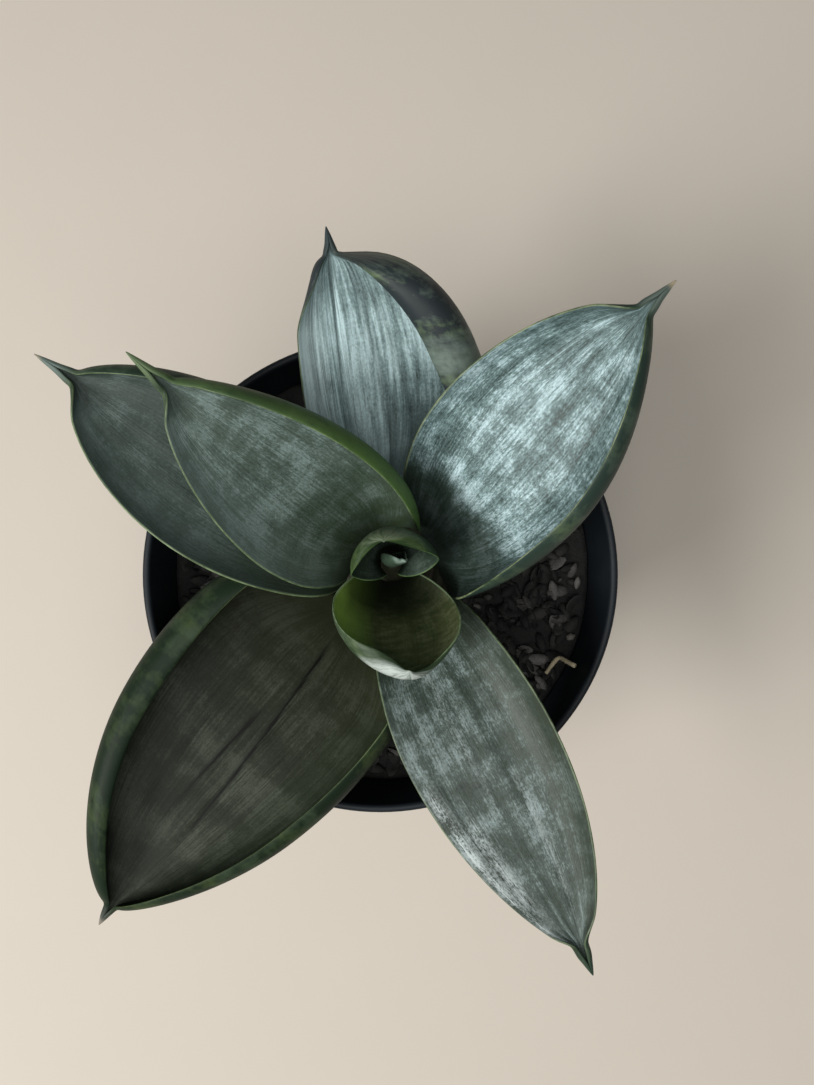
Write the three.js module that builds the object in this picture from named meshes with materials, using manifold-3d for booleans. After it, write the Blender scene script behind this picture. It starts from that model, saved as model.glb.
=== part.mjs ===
// A young rosette snake plant in a round nursery pot, as a scene graph of named solids.
// Millimetres, +Z up, origin at the centre of the pot's base.
import * as THREE from "three";
import { mergeVertices } from "three/addons/utils/BufferGeometryUtils.js";
import Module from "manifold-3d";

const wasm = await Module();
wasm.setup();

// Pot.
const RIM_RADIUS = 65;
const POT_HEIGHT = 110;
const BASE_RADIUS = 50;
const WALL = 1.2;
const FLOOR = 2.4;
const COLLAR_HEIGHT = 5;
const COLLAR_STEP = 1;
const DRAIN_COUNT = 8;
const DRAIN_RADIUS = 4;
const DRAIN_RING = 30;
const POT_SIDES = 60;
const LIP_SIDES = 6;

// Potting mix.
const SOIL_DROP = 16;
const SOIL_LEVEL = POT_HEIGHT - SOIL_DROP;
const SOIL_SIDES = 48;
const SOIL_RINGS = 12;
const LUMP = 0.7;
const FLAKE_COUNT = 60;
const FLAKE_SIZE = new THREE.Vector3(3.4, 1.7, 1.1);
const FLAKE_RING_START = 27;
const FLAKE_SINK = 0.35;
const GOLDEN_TURN = Math.PI * (3 - Math.sqrt(5));
const SEED = 11;

// Rootstock: a stepped cone, with a step for the base of each ring of leaves. The profile holds
// pairs of radius and height above the mix.
const CROWN_X = 3;
const CROWN_Y = 3;
const CROWN_DEPTH = 15;
const CROWN_PROFILE = [
  [0, -CROWN_DEPTH],
  [15, -CROWN_DEPTH],
  [19.5, -5],
  [19.5, 0.4],
  [16, 0.6],
  [15.8, 1.6],
  [12.9, 1.8],
  [12.4, 7.8],
  [10.9, 8],
  [8.1, 8.3],
  [7.9, 9.2],
  [4.6, 9.5],
  [4.4, 10.4],
  [2.3, 10.7],
  [2.1, 11.4],
  [0, 11.7],
];
const CROWN_SIDES = 24;
const HOLE_RADIUS = 20;

// A bent bit of straw that lies on the mix and leans on the pot's wall. Its points are x, y and
// the height above the mix.
const STRAW_RADIUS = 0.7;
const STRAW_POINTS = [
  [47.4, -28.9, 3],
  [49.2, -26, 3.6],
  [50.7, -24.1, 4.6],
  [52.6, -25, 6.4],
  [54.6, -25.9, 9],
];
const STRAW_STEPS = 12;

// Clearance between touching pieces.
const GAP = 0.3;

// Leaf sheets: steps of the section's curve, how much closer the columns stand near the margins,
// and how the blade thins towards its edges and tip.
const SECTION_STEPS = 24;
const COLUMN_SPREAD = 0.7;
const EDGE_THINNING = 0.5;
const TIP_THINNING = 0.35;
const LEAST_THICKNESS = 0.8;
const LEAST_CURL = 0.3;
const MUCRO_WIDTH = 3.4;
const MUCRO_TAPER = 0.6;

// Every leaf is described as it grows from the crown, heading along +X before it is turned
// to its azimuth. Angles are in degrees, lengths in millimetres and heights above the mix.
// left and right are the sides as seen from the crown; lean is the midrib's elevation.
const LEAF_DEFAULTS = {
  rows: 24,
  columns: 12,
  thickness: 2.2,
  rollBase: 0,
  clasp: 0.7,
  openBy: 0.45,
  flatness: 2.2,
  tipFlatness: 1,
  tipFullness: 0.7,
  tipCurl: 165,
  tipCurlFrom: 0.88,
  baseReach: 0.36,
  tipReach: 0.36,
  mucro: 8,
};

const LEAVES = [
  {
    name: "leaf_south_west", azimuth: 231, baseRadius: 18, baseHeight: 2,
    tipTurn: 0, reach: 120.5, tipHeight: 26, leanBase: 31, leanTip: 8, headingTurn: 9,
    leftWidth: 43.2, rightWidth: 53, baseFraction: 0.22, widest: 0.25, leftCurl: 168, rightCurl: 220,
    rollBase: 2, openBy: 0.53, flatness: 3.1, tipFullness: 0.6, tipReach: 0.3, mucro: 6, clasp: 0.9,
  },
  {
    name: "leaf_south_east", azimuth: 292, baseRadius: 14.2, baseHeight: 9,
    tipTurn: 4.5, reach: 110.5, tipHeight: 41, leanBase: 71, leanTip: 12, headingTurn: 0,
    leftWidth: 22, rightWidth: 19, baseFraction: 0.4, widest: 0.45, leftCurl: 80, rightCurl: 10,
    clasp: 0.9, flatness: 2, tipFullness: 0.74, mucro: 6, tipCurlFrom: 0.92,
  },
  {
    name: "leaf_west_outer", azimuth: 160, baseRadius: 13.8, baseHeight: 9,
    tipTurn: -11, reach: 97.5, tipHeight: 46, leanBase: 69, leanTip: 20, headingTurn: -12,
    leftWidth: 24.6, rightWidth: 31, baseFraction: 0.38, widest: 0.44, leftCurl: 62, rightCurl: 165,
    rollBase: 11, openBy: 0.6, tipFullness: 0.6, mucro: 10, tipCurlFrom: 0.93,
  },
  {
    name: "leaf_north", azimuth: 107, baseRadius: 14, baseHeight: 3,
    tipTurn: -6.5, reach: 82.5, tipHeight: 44, leanBase: 44, leanTip: 32, headingTurn: -6,
    leftWidth: 14, rightWidth: 55.8, baseFraction: 0.22, widest: 0.53, leftCurl: 62, rightCurl: 248,
    rollBase: 10, clasp: 0.5, openBy: 0.65, flatness: 2.6, tipFlatness: 1.6, tipFullness: 0.25, mucro: 7,
    tipCurlFrom: 0.76,
  },
  {
    name: "leaf_north_east", azimuth: 28, baseRadius: 12.3, baseHeight: 9,
    tipTurn: 17, reach: 87, tipHeight: 65, leanBase: 73, leanTip: 20, headingTurn: 15,
    leftWidth: 24.5, rightWidth: 33.4, baseFraction: 0.25, widest: 0.5, leftCurl: 75, rightCurl: 150,
    rollBase: 3, flatness: 2.5, tipFullness: 0.68, mucro: 8, tipCurlFrom: 0.92,
  },
  {
    name: "leaf_west_inner", azimuth: 130, baseRadius: 9.5, baseHeight: 10,
    tipTurn: 10, reach: 71, tipHeight: 68, leanBase: 74, leanTip: 24, headingTurn: 10,
    leftWidth: 23.6, rightWidth: 29, baseFraction: 0.27, widest: 0.34, leftCurl: 60, rightCurl: 148,
    rollBase: 1, clasp: 0.9, tipFullness: 0.65, mucro: 10, tipCurlFrom: 0.93,
  },
  {
    name: "leaf_cup", azimuth: 266, baseRadius: 6, baseHeight: 11,
    tipTurn: 16, reach: 24, tipHeight: 52, leanBase: 74, leanTip: 148, headingTurn: -12,
    leftWidth: 18.9, rightWidth: 20, baseFraction: 0.31, widest: 0.58, leftCurl: 66, rightCurl: 82,
    clasp: 1, flatness: 1.5, tipFullness: 0.52, tipCurl: 0, tipCurlFrom: 0.9, tipReach: 0.22, mucro: 1,
  },
  {
    name: "leaf_heart", azimuth: 100, baseRadius: 3.4, baseHeight: 12,
    tipTurn: 0, reach: 6, tipHeight: 50, leanBase: 82, leanTip: 150, headingTurn: -10,
    leftWidth: 15, rightWidth: 16, baseFraction: 0.36, widest: 0.62, leftCurl: 85, rightCurl: 75,
    clasp: 1, openBy: 0.6, flatness: 1, tipFullness: 0.4, tipCurl: 0, tipCurlFrom: 0.9, tipReach: 0.22,
    mucro: 1, thickness: 1.6, rows: 20, columns: 10,
  },
  {
    name: "leaf_spike", azimuth: 275, baseRadius: 0.6, baseHeight: 13,
    tipTurn: 103, reach: 4.2, tipHeight: 45, leanBase: 89, leanTip: 75, headingTurn: 103,
    leftWidth: 5, rightWidth: 5, baseFraction: 0.4, widest: 0.5, leftCurl: 100, rightCurl: 100,
    clasp: 1, flatness: 1, tipFullness: 1, tipCurl: 110, mucro: 1, thickness: 1, rows: 16, columns: 8,
  },
];

const radians = THREE.MathUtils.degToRad;
const lerp = THREE.MathUtils.lerp;
const smoothstep = THREE.MathUtils.smoothstep;

// A small seeded generator of numbers from 0 to 1.
function seededRandom(seed) {
  let state = seed;
  return () => {
    state = (state + 0x6d2b79f5) | 0;
    let mixed = Math.imul(state ^ (state >>> 15), 1 | state);
    mixed = (mixed + Math.imul(mixed ^ (mixed >>> 7), 61 | mixed)) ^ mixed;
    return ((mixed ^ (mixed >>> 14)) >>> 0) / 4294967296;
  };
}

// ---- solids and booleans ----

// Keeps positions only and joins the vertices along seams and edges.
function weld(geometry) {
  geometry.deleteAttribute("normal");
  geometry.deleteAttribute("uv");
  return mergeVertices(geometry, 1e-4);
}

function toSolid(geometry) {
  const welded = weld(geometry);
  const index = welded.index.array;
  const triangles = [];
  for (let i = 0; i < index.length; i += 3) {
    const [a, b, c] = [index[i], index[i + 1], index[i + 2]];
    if (a !== b && b !== c && c !== a) triangles.push(a, b, c);
  }
  const mesh = new wasm.Mesh({
    numProp: 3,
    vertProperties: new Float32Array(welded.attributes.position.array),
    triVerts: new Uint32Array(triangles),
  });
  return new wasm.Manifold(mesh);
}

function toGeometry(solid) {
  const mesh = solid.getMesh();
  const geometry = new THREE.BufferGeometry();
  geometry.setAttribute("position", new THREE.BufferAttribute(mesh.vertProperties, mesh.numProp));
  geometry.setIndex(new THREE.BufferAttribute(mesh.triVerts, 1));
  return geometry;
}

// Turns a profile of [radius, height] pairs into a closed solid about +Z.
function revolve(profile, sides) {
  const points = profile.map(([radius, height]) => new THREE.Vector2(radius, height));
  return new THREE.LatheGeometry(points, sides).rotateX(Math.PI / 2);
}

function named(name, geometry, material) {
  geometry.computeVertexNormals();
  const mesh = new THREE.Mesh(geometry, material);
  mesh.name = name;
  return mesh;
}

// ---- pot ----

function outerRadius(height) {
  return lerp(BASE_RADIUS, RIM_RADIUS - COLLAR_STEP, height / POT_HEIGHT);
}

function innerRadius(height) {
  return outerRadius(height) - WALL;
}

function potProfile() {
  const collar = POT_HEIGHT - COLLAR_HEIGHT;
  const lipRadius = (COLLAR_STEP + WALL) / 2;
  const lip = [];
  for (let i = 0; i <= LIP_SIDES; i += 1) {
    const turn = (Math.PI * i) / LIP_SIDES;
    const radius = RIM_RADIUS - lipRadius + lipRadius * Math.cos(turn);
    lip.push([radius, POT_HEIGHT - lipRadius + lipRadius * Math.sin(turn)]);
  }
  return [
    [0, 0],
    [BASE_RADIUS - 1, 0],
    [BASE_RADIUS, 1],
    [outerRadius(collar), collar],
    [RIM_RADIUS - 0.5, collar],
    [RIM_RADIUS, collar + 1],
    ...lip,
    [innerRadius(FLOOR), FLOOR],
    [0, FLOOR],
  ];
}

function buildPot() {
  let pot = toSolid(revolve(potProfile(), POT_SIDES));
  for (let i = 0; i < DRAIN_COUNT; i += 1) {
    const turn = (2 * Math.PI * i) / DRAIN_COUNT;
    const drill = new THREE.CylinderGeometry(DRAIN_RADIUS, DRAIN_RADIUS, 4 * FLOOR, 16);
    drill.rotateX(Math.PI / 2);
    drill.translate(DRAIN_RING * Math.cos(turn), DRAIN_RING * Math.sin(turn), 0);
    pot = pot.subtract(toSolid(drill));
  }
  const plastic = new THREE.MeshStandardMaterial({ color: 0x14161d, roughness: 0.5, metalness: 0 });
  return named("pot", toGeometry(pot), plastic);
}

// ---- potting mix ----

function soilHeight(x, y) {
  const broad = Math.sin(x * 0.16 + 1) * Math.cos(y * 0.13);
  const fine = Math.sin(x * 0.47 + y * 0.31) * Math.cos(y * 0.53 - x * 0.2);
  return SOIL_LEVEL + LUMP * (broad + 0.6 * fine - 0.6);
}

function soilBody() {
  const bottom = FLOOR + GAP;
  const edge = innerRadius(SOIL_LEVEL - 2) - GAP;
  const profile = [[0, bottom], [innerRadius(bottom) - GAP, bottom]];
  for (let ring = SOIL_RINGS; ring >= 0; ring -= 1) profile.push([(edge * ring) / SOIL_RINGS, SOIL_LEVEL]);
  const geometry = revolve(profile, SOIL_SIDES);
  const position = geometry.attributes.position;
  for (let i = 0; i < position.count; i += 1) {
    if (position.getZ(i) > bottom + 1) {
      position.setZ(i, soilHeight(position.getX(i), position.getY(i)));
    }
  }
  return toSolid(geometry);
}

function buildSoil() {
  const random = seededRandom(SEED);
  const flakes = [];
  const outerRing = innerRadius(SOIL_LEVEL) - FLAKE_SIZE.x - 1;
  for (let i = 0; i < FLAKE_COUNT; i += 1) {
    const share = (i + 0.5) / FLAKE_COUNT;
    const radius = Math.sqrt(lerp(FLAKE_RING_START ** 2, outerRing ** 2, share));
    const turn = i * GOLDEN_TURN + 0.5 * random();
    const x = radius * Math.cos(turn);
    const y = radius * Math.sin(turn);
    const flake = new THREE.SphereGeometry(1, 6, 3);
    const size = 0.75 + 0.5 * random();
    flake.scale(FLAKE_SIZE.x * size, FLAKE_SIZE.y * size, FLAKE_SIZE.z * size);
    flake.rotateX(0.5 * random() - 0.25);
    flake.rotateZ(2 * Math.PI * random());
    flake.translate(x, y, soilHeight(x, y) + FLAKE_SINK * random());
    flakes.push(toSolid(flake));
  }
  const hole = new THREE.CylinderGeometry(HOLE_RADIUS, HOLE_RADIUS, 2 * (CROWN_DEPTH + GAP), CROWN_SIDES);
  hole.rotateX(Math.PI / 2);
  hole.translate(CROWN_X, CROWN_Y, SOIL_LEVEL);
  const soil = wasm.Manifold.union([soilBody(), ...flakes]).subtract(toSolid(hole));
  const husk = new THREE.MeshStandardMaterial({ color: 0x2b2826, roughness: 0.95, metalness: 0 });
  return named("potting_mix", toGeometry(soil), husk);
}

function buildStraw() {
  const path = new THREE.CatmullRomCurve3(STRAW_POINTS.map((point) => new THREE.Vector3(...point)));
  const section = new THREE.Shape();
  section.absarc(0, 0, STRAW_RADIUS, 0, 2 * Math.PI);
  const options = { steps: STRAW_STEPS, extrudePath: path, curveSegments: 4 };
  const straw = weld(new THREE.ExtrudeGeometry(section, options));
  const dry = new THREE.MeshStandardMaterial({ color: 0xb9a98c, roughness: 0.85, metalness: 0 });
  const mesh = named("straw_bit", straw, dry);
  mesh.position.z = SOIL_LEVEL;
  return mesh;
}

// ---- leaves ----

// Half width of the blade at a share of its length, as a part of its greatest half width.
function widthShare(leaf, along) {
  if (along < leaf.widest) return 1 - (1 - leaf.baseFraction) * (1 - along / leaf.widest) ** 2;
  const past = Math.min((along - leaf.widest) / (1 - leaf.widest), 1);
  return (1 - past ** 2) ** leaf.tipFullness;
}

// The midrib as a curve that leaves the crown at one elevation and ends at another.
function midrib(leaf) {
  const tipTurn = radians(leaf.tipTurn);
  const start = new THREE.Vector3(leaf.baseRadius, 0, leaf.baseHeight);
  const end = new THREE.Vector3(leaf.reach * Math.cos(tipTurn), leaf.reach * Math.sin(tipTurn), 0);
  end.z = leaf.tipHeight;
  const span = start.distanceTo(end);
  const out = direction(leaf.leanBase, 0).multiplyScalar(leaf.baseReach * span);
  const back = direction(leaf.leanTip, leaf.headingTurn).multiplyScalar(-leaf.tipReach * span);
  return new THREE.CubicBezierCurve3(start, start.clone().add(out), end.clone().add(back), end);
}

function direction(lean, heading) {
  const flat = Math.cos(radians(lean));
  const turn = radians(heading);
  return new THREE.Vector3(flat * Math.cos(turn), flat * Math.sin(turn), Math.sin(radians(lean)));
}

// A row of middle points across the blade, from its right margin to its left one.
function bladeRow(leaf, curve, share) {
  const body = 1 - leaf.mucro / curve.getLength();
  const centre = curve.getPointAt(share);
  const tangent = curve.getTangentAt(share);
  const side = new THREE.Vector3(0, 1, 0).addScaledVector(tangent, -tangent.y).normalize();
  const face = tangent.clone().cross(side);
  const roll = radians(leaf.rollBase * (1 - share));
  side.applyAxisAngle(tangent, roll);
  face.applyAxisAngle(tangent, roll);
  const grip = 1 - smoothstep(share / leaf.openBy, 0, 1);
  const close = smoothstep(share / body, leaf.tipCurlFrom, 1);
  const endFlatness = share > 0.5 ? leaf.tipFlatness : 1;
  const bend = lerp(endFlatness, leaf.flatness, Math.sin(Math.PI * share));
  const mucroWidth = MUCRO_WIDTH * (1 - MUCRO_TAPER * Math.max(share - body, 0) / (1 - body));
  const row = [];
  for (let column = 0; column <= leaf.columns; column += 1) {
    const across = (2 * column) / leaf.columns - 1;
    const out = Math.abs(across) ** COLUMN_SPREAD;
    const greatest = across < 0 ? leaf.rightWidth : leaf.leftWidth;
    const width = Math.max(greatest * widthShare(leaf, share / body), mucroWidth);
    const open = across < 0 ? leaf.rightCurl : leaf.leftCurl;
    const held = (leaf.clasp * width) / leaf.baseRadius;
    const opened = lerp(radians(open), held, grip);
    const curl = lerp(opened, Math.max(opened, radians(leaf.tipCurl)), close);
    const [flat, rise] = sectionPoint(width, curl, bend, out);
    const point = centre.clone().addScaledVector(side, Math.sign(across) * flat).addScaledVector(face, rise);
    const thickness = bladeThickness(leaf, share, out, width / Math.max(curl, LEAST_CURL));
    row.push({ point, thickness });
  }
  return row;
}

// Follows the section's curve, which turns more and more towards the margin.
function sectionPoint(width, curl, bend, out) {
  let flat = 0;
  let rise = 0;
  const step = out / SECTION_STEPS;
  for (let i = 0; i < SECTION_STEPS; i += 1) {
    const angle = curl * ((i + 0.5) * step) ** bend;
    flat += width * step * Math.cos(angle);
    rise += width * step * Math.sin(angle);
  }
  return [flat, rise];
}

function bladeThickness(leaf, share, out, bendRadius) {
  const full = leaf.thickness * (1 - EDGE_THINNING * out ** 2) * (1 - TIP_THINNING * share);
  return Math.max(Math.min(full, bendRadius), LEAST_THICKNESS);
}

// Splits the under side into triangles the same way as the upper side.
function matchDiagonals(sheet) {
  const under = sheet.groups[5];
  const index = sheet.index;
  for (let i = under.start; i < under.start + under.count; i += 6) {
    const [a, b, d, c] = [index.getX(i), index.getX(i + 1), index.getX(i + 2), index.getX(i + 4)];
    [a, b, c, a, c, d].forEach((vertex, offset) => index.setX(i + offset, vertex));
  }
}

function normalAt(rows, i, j) {
  const before = rows[Math.max(i - 1, 0)][j].point;
  const after = rows[Math.min(i + 1, rows.length - 1)][j].point;
  const right = rows[i][Math.max(j - 1, 0)].point;
  const left = rows[i][Math.min(j + 1, rows[i].length - 1)].point;
  return after.clone().sub(before).cross(left.clone().sub(right)).normalize();
}

// A leaf is a flat closed sheet whose two faces are laid on either side of the blade's middle.
function leafGeometry(leaf) {
  const curve = midrib(leaf);
  const rows = [];
  for (let i = 0; i <= leaf.rows; i += 1) rows.push(bladeRow(leaf, curve, i / leaf.rows));
  const sheet = new THREE.BoxGeometry(1, 1, 1, leaf.rows, leaf.columns, 1);
  matchDiagonals(sheet);
  const position = sheet.attributes.position;
  for (let k = 0; k < position.count; k += 1) {
    const i = Math.round((position.getX(k) + 0.5) * leaf.rows);
    const j = Math.round((position.getY(k) + 0.5) * leaf.columns);
    const { point, thickness } = rows[i][j];
    const offset = position.getZ(k) * thickness;
    const placed = point.clone().addScaledVector(normalAt(rows, i, j), offset);
    position.setXYZ(k, placed.x, placed.y, placed.z);
  }
  return sheet;
}

function buildLeaf(leaf) {
  const skin = new THREE.MeshStandardMaterial({ color: 0x6d857c, roughness: 0.45, metalness: 0 });
  const mesh = named(leaf.name, weld(leafGeometry(leaf)), skin);
  mesh.rotation.z = radians(leaf.azimuth);
  return mesh;
}

// ---- rootstock ----

function buildCrown() {
  const stock = new THREE.MeshStandardMaterial({ color: 0x6f7a4e, roughness: 0.7, metalness: 0 });
  return named("crown", weld(revolve(CROWN_PROFILE, CROWN_SIDES)), stock);
}

// ---- assembly ----

const leaves = LEAVES.map((leaf) => ({ ...LEAF_DEFAULTS, ...leaf }));

const plant = new THREE.Group();
plant.position.set(CROWN_X, CROWN_Y, SOIL_LEVEL);
plant.add(buildCrown());
for (const leaf of leaves) plant.add(buildLeaf(leaf));

const pottedPlant = new THREE.Group();
pottedPlant.add(buildPot());
pottedPlant.add(buildSoil());
pottedPlant.add(buildStraw());
pottedPlant.add(plant);

export default pottedPlant;
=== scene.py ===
"""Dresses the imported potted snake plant: leaves, rootstock, potting mix, pot, light and camera."""

import logging
import math
import random
from dataclasses import dataclass, field, replace
from enum import Enum
from typing import Iterable, Optional, Sequence

import bmesh
import bpy
from mathutils import Matrix, Quaternion, Vector, noise

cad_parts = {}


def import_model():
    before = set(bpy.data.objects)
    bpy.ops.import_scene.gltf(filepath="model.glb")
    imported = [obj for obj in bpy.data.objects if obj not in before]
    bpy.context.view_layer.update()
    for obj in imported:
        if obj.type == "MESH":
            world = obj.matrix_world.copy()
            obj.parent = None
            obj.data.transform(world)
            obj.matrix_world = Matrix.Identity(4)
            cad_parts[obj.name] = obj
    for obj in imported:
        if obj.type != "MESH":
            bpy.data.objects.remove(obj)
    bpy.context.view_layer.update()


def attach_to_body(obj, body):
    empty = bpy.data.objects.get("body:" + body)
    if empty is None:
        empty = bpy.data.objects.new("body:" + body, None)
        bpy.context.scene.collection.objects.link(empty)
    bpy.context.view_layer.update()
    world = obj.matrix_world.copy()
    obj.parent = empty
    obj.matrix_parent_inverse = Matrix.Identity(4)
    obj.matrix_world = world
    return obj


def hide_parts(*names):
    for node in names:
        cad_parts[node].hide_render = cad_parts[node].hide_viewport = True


LOG = logging.getLogger("potted_plant")

Colour = tuple[float, float, float]
Triple = tuple[float, float, float]
Stops = Sequence[tuple[float, Colour | float]]
Mesh = bmesh.types.BMesh
Bit = tuple[float, float, float, float]

MM = 0.001
BODY = "root"
SEED = 7

# The UV maps of a leaf, in metres and in shares of its size, and the bits' own tone.
BLADE_MAP = "blade"
SHARE_MAP = "share"
TONE = "tone"

# Shared sizes, in millimetres, as in the part's source.
POT_HEIGHT = 110.0
RIM_RADIUS = 65.0
SOIL_LEVEL = 94.0
CROWN_X = 3.0
CROWN_Y = 3.0

# The photograph's frame and the camera placed for it, in pixels and millimetres.
PHOTO_HEIGHT_PX = 1085.0
FOCAL_PX = 815.0
SENSOR_MM = 36.0
CAMERA_X = 7.3
CAMERA_Y = 8.8
CAMERA_ABOVE_RIM = 222.0


class BladeFace(Enum):
    """The three kinds of surface that a leaf has, as material slots."""

    UPPER = 0
    UNDER = 1
    MARGIN = 2


# ---- materials ----


@dataclass(frozen=True)
class Pattern:
    """A noise pattern.

    Attributes:
        scale: How many pattern units go to a metre along each axis.
        detail: How many finer layers are added.
        roughness: How strong the finer layers are.
        shift: An offset that makes this pattern differ from others.
        uv_map: The UV map that it lies on, or None for Object coordinates.
    """

    scale: Triple
    detail: float
    roughness: float
    shift: float
    uv_map: Optional[str] = None


def on_blade(across: float, along: float, detail: float, roughness: float, shift: float) -> Pattern:
    """Describes a pattern by its units to a metre across and along a leaf's blade."""
    return Pattern((across, along, 1), detail, roughness, shift, BLADE_MAP)


# The patterns of the leaves' upper sides, under sides and margins.
STREAK = on_blade(290, 13, 3, 0.6, 0)
DASH = on_blade(1500, 75, 2, 0.65, 3)
SPECK = on_blade(2500, 1100, 3, 0.75, 5)
BLOTCH = on_blade(125, 120, 5, 0.7, 7)
BAND = on_blade(14, 85, 4, 0.6, 9)
RIM_BREAKS = on_blade(1, 60, 3, 0.7, 21)
CROSSLINE = on_blade(230, 640, 4, 0.7, 23)
UNDER_BAND = on_blade(32, 75, 5, 0.65, 11)
FLECK = on_blade(620, 330, 4, 0.7, 13)
HAZE = on_blade(170, 60, 3, 0.6, 15)
WARM = on_blade(60, 110, 4, 0.65, 19)
MARGIN_GRAIN = Pattern((900, 900, 900), 3, 0.6, 17)
MARGIN_WEAR = on_blade(1, 95, 4, 0.7, 18)
MOTE_CELLS = (46, 46, 46)
MOTE_COLOUR: Colour = (0.62, 0.64, 0.58)


class Signal:
    """A value that flows from one node to others, with plain arithmetic."""

    def __init__(self, sheet: "NodeSheet", socket: bpy.types.NodeSocket) -> None:
        """Holds a socket and the sheet that it is on."""
        self.sheet = sheet
        self.socket = socket

    def __add__(self, other: "Signal | float") -> "Signal":
        """Adds a number or a signal."""
        return self.sheet.math("ADD", self, other)

    def __sub__(self, other: "Signal | float") -> "Signal":
        """Takes away a number or a signal."""
        return self.sheet.math("SUBTRACT", self, other)

    def __mul__(self, other: "Signal | float") -> "Signal":
        """Multiplies by a number or a signal."""
        return self.sheet.math("MULTIPLY", self, other)

    def __abs__(self) -> "Signal":
        """Drops the sign."""
        return self.sheet.math("ABSOLUTE", self)

    def swing(self, amount: float) -> "Signal":
        """Scales a pattern's departure from its middle value."""
        return (self - 0.5) * amount


class NodeSheet:
    """Builds one material's node tree from short, readable calls."""

    def __init__(self, name: str) -> None:
        """Starts an empty material with a Principled shader.

        Args:
            name: The material's name.
        """
        self.material = bpy.data.materials.new(name)
        self.material.use_nodes = True
        self.tree = self.material.node_tree
        self.tree.nodes.clear()
        output = self.node("OutputMaterial")
        self.shader = self.node("BsdfPrincipled")
        self.tree.links.new(self.shader.outputs["BSDF"], output.inputs["Surface"])

    def node(self, kind: str, **inputs: float) -> bpy.types.Node:
        """Adds a shader node.

        Args:
            kind: The node's type, without its prefix.
            inputs: Values for the inputs of those names.

        Returns:
            The node.
        """
        node = self.tree.nodes.new(f"ShaderNode{kind}")
        for name, value in inputs.items():
            node.inputs[name].default_value = value
        return node

    def feed(self, target: bpy.types.NodeSocket, value: Signal | Colour | float) -> None:
        """Links a signal to a socket, or sets the socket to a colour or a number.

        Args:
            target: The socket.
            value: What it gets.
        """
        if isinstance(value, Signal):
            self.tree.links.new(value.socket, target)
        elif isinstance(value, tuple):
            target.default_value = (*value, 1.0)
        else:
            target.default_value = float(value)

    def place(self, scale: Sequence[float], uv_map: Optional[str]) -> Signal:
        """Makes stretched coordinates.

        Args:
            scale: How many pattern units go to a metre along each axis.
            uv_map: The UV map to read, or None for Object coordinates.

        Returns:
            The coordinates.
        """
        if uv_map is None:
            source = self.node("TexCoord").outputs["Object"]
        else:
            reader = self.node("UVMap")
            reader.uv_map = uv_map
            source = reader.outputs["UV"]
        mapping = self.node("Mapping", Scale=tuple(scale))
        self.tree.links.new(source, mapping.inputs["Vector"])
        return Signal(self, mapping.outputs["Vector"])

    def patterns(self, *kinds: Pattern, seed: float = 0.0) -> list[Signal]:
        """Adds noise patterns.

        Args:
            kinds: What each pattern is like.
            seed: An offset that all of them share.

        Returns:
            The patterns, each about 0.5 on average.
        """
        made = []
        for kind in kinds:
            node = self.node("TexNoise", Scale=1.0, Detail=kind.detail, Roughness=kind.roughness)
            node.noise_dimensions = "4D"
            node.inputs["W"].default_value = kind.shift + seed
            self.feed(node.inputs["Vector"], self.place(kind.scale, kind.uv_map))
            made.append(Signal(self, node.outputs["Fac"]))
        return made

    def cells(self, scale: Sequence[float], uv_map: str) -> Signal:
        """Adds a pattern of cells.

        Args:
            scale: How many cells go to a metre along each axis.
            uv_map: The UV map that they lie on.

        Returns:
            The distance to each cell's centre.
        """
        node = self.node("TexVoronoi", Scale=1.0)
        self.feed(node.inputs["Vector"], self.place(scale, uv_map))
        return Signal(self, node.outputs["Distance"])

    def attribute(self, name: str) -> Signal:
        """Reads a number stored on the mesh.

        Args:
            name: The attribute's name.

        Returns:
            The number.
        """
        node = self.node("Attribute")
        node.attribute_name = name
        return Signal(self, node.outputs["Fac"])

    def shares(self) -> list[Signal]:
        """Reads where a place is on its leaf.

        Returns:
            Its shares across and along the leaf, both from 0 to 1.
        """
        node = self.node("SeparateXYZ")
        self.feed(node.inputs[0], self.place((1, 1, 1), SHARE_MAP))
        return [Signal(self, node.outputs[index]) for index in range(2)]

    def math(self, operation: str, first: Signal | float, second: Signal | float = 0.0) -> Signal:
        """Adds one calculation on numbers.

        Args:
            operation: The Math node's operation.
            first: The first number or signal.
            second: The second number or signal.

        Returns:
            The result.
        """
        node = self.node("Math")
        node.operation = operation
        self.feed(node.inputs[0], first)
        self.feed(node.inputs[1], second)
        return Signal(self, node.outputs[0])

    def clamped(self, value: Signal) -> Signal:
        """Keeps a number between 0 and 1."""
        return self.math("MINIMUM", self.math("MAXIMUM", value, 0.0), 1.0)

    def weighted(self, parts: Sequence[tuple[Signal, float]], base: float) -> Signal:
        """Sums patterns about their middle value.

        Args:
            parts: Patterns and their strengths.
            base: The value where every pattern is at 0.5.

        Returns:
            The sum.
        """
        result: Signal | float = base - 0.5 * sum(weight for _, weight in parts)
        for signal, weight in parts:
            result = signal * weight + result
        return result

    def ramp(self, value: Signal, stops: Stops) -> Signal:
        """Maps a number onto colours.

        Args:
            value: The number.
            stops: Positions with a colour or a grey level each.

        Returns:
            The colour.
        """
        node = self.node("ValToRGB")
        elements = node.color_ramp.elements
        while len(elements) < len(stops):
            elements.new(0.5)
        for element, (position, colour) in zip(elements, stops):
            element.position = position
            rgb = (colour,) * 3 if isinstance(colour, (int, float)) else colour
            element.color = (*rgb, 1.0)
        self.feed(node.inputs["Fac"], value)
        return Signal(self, node.outputs["Color"])

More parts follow.
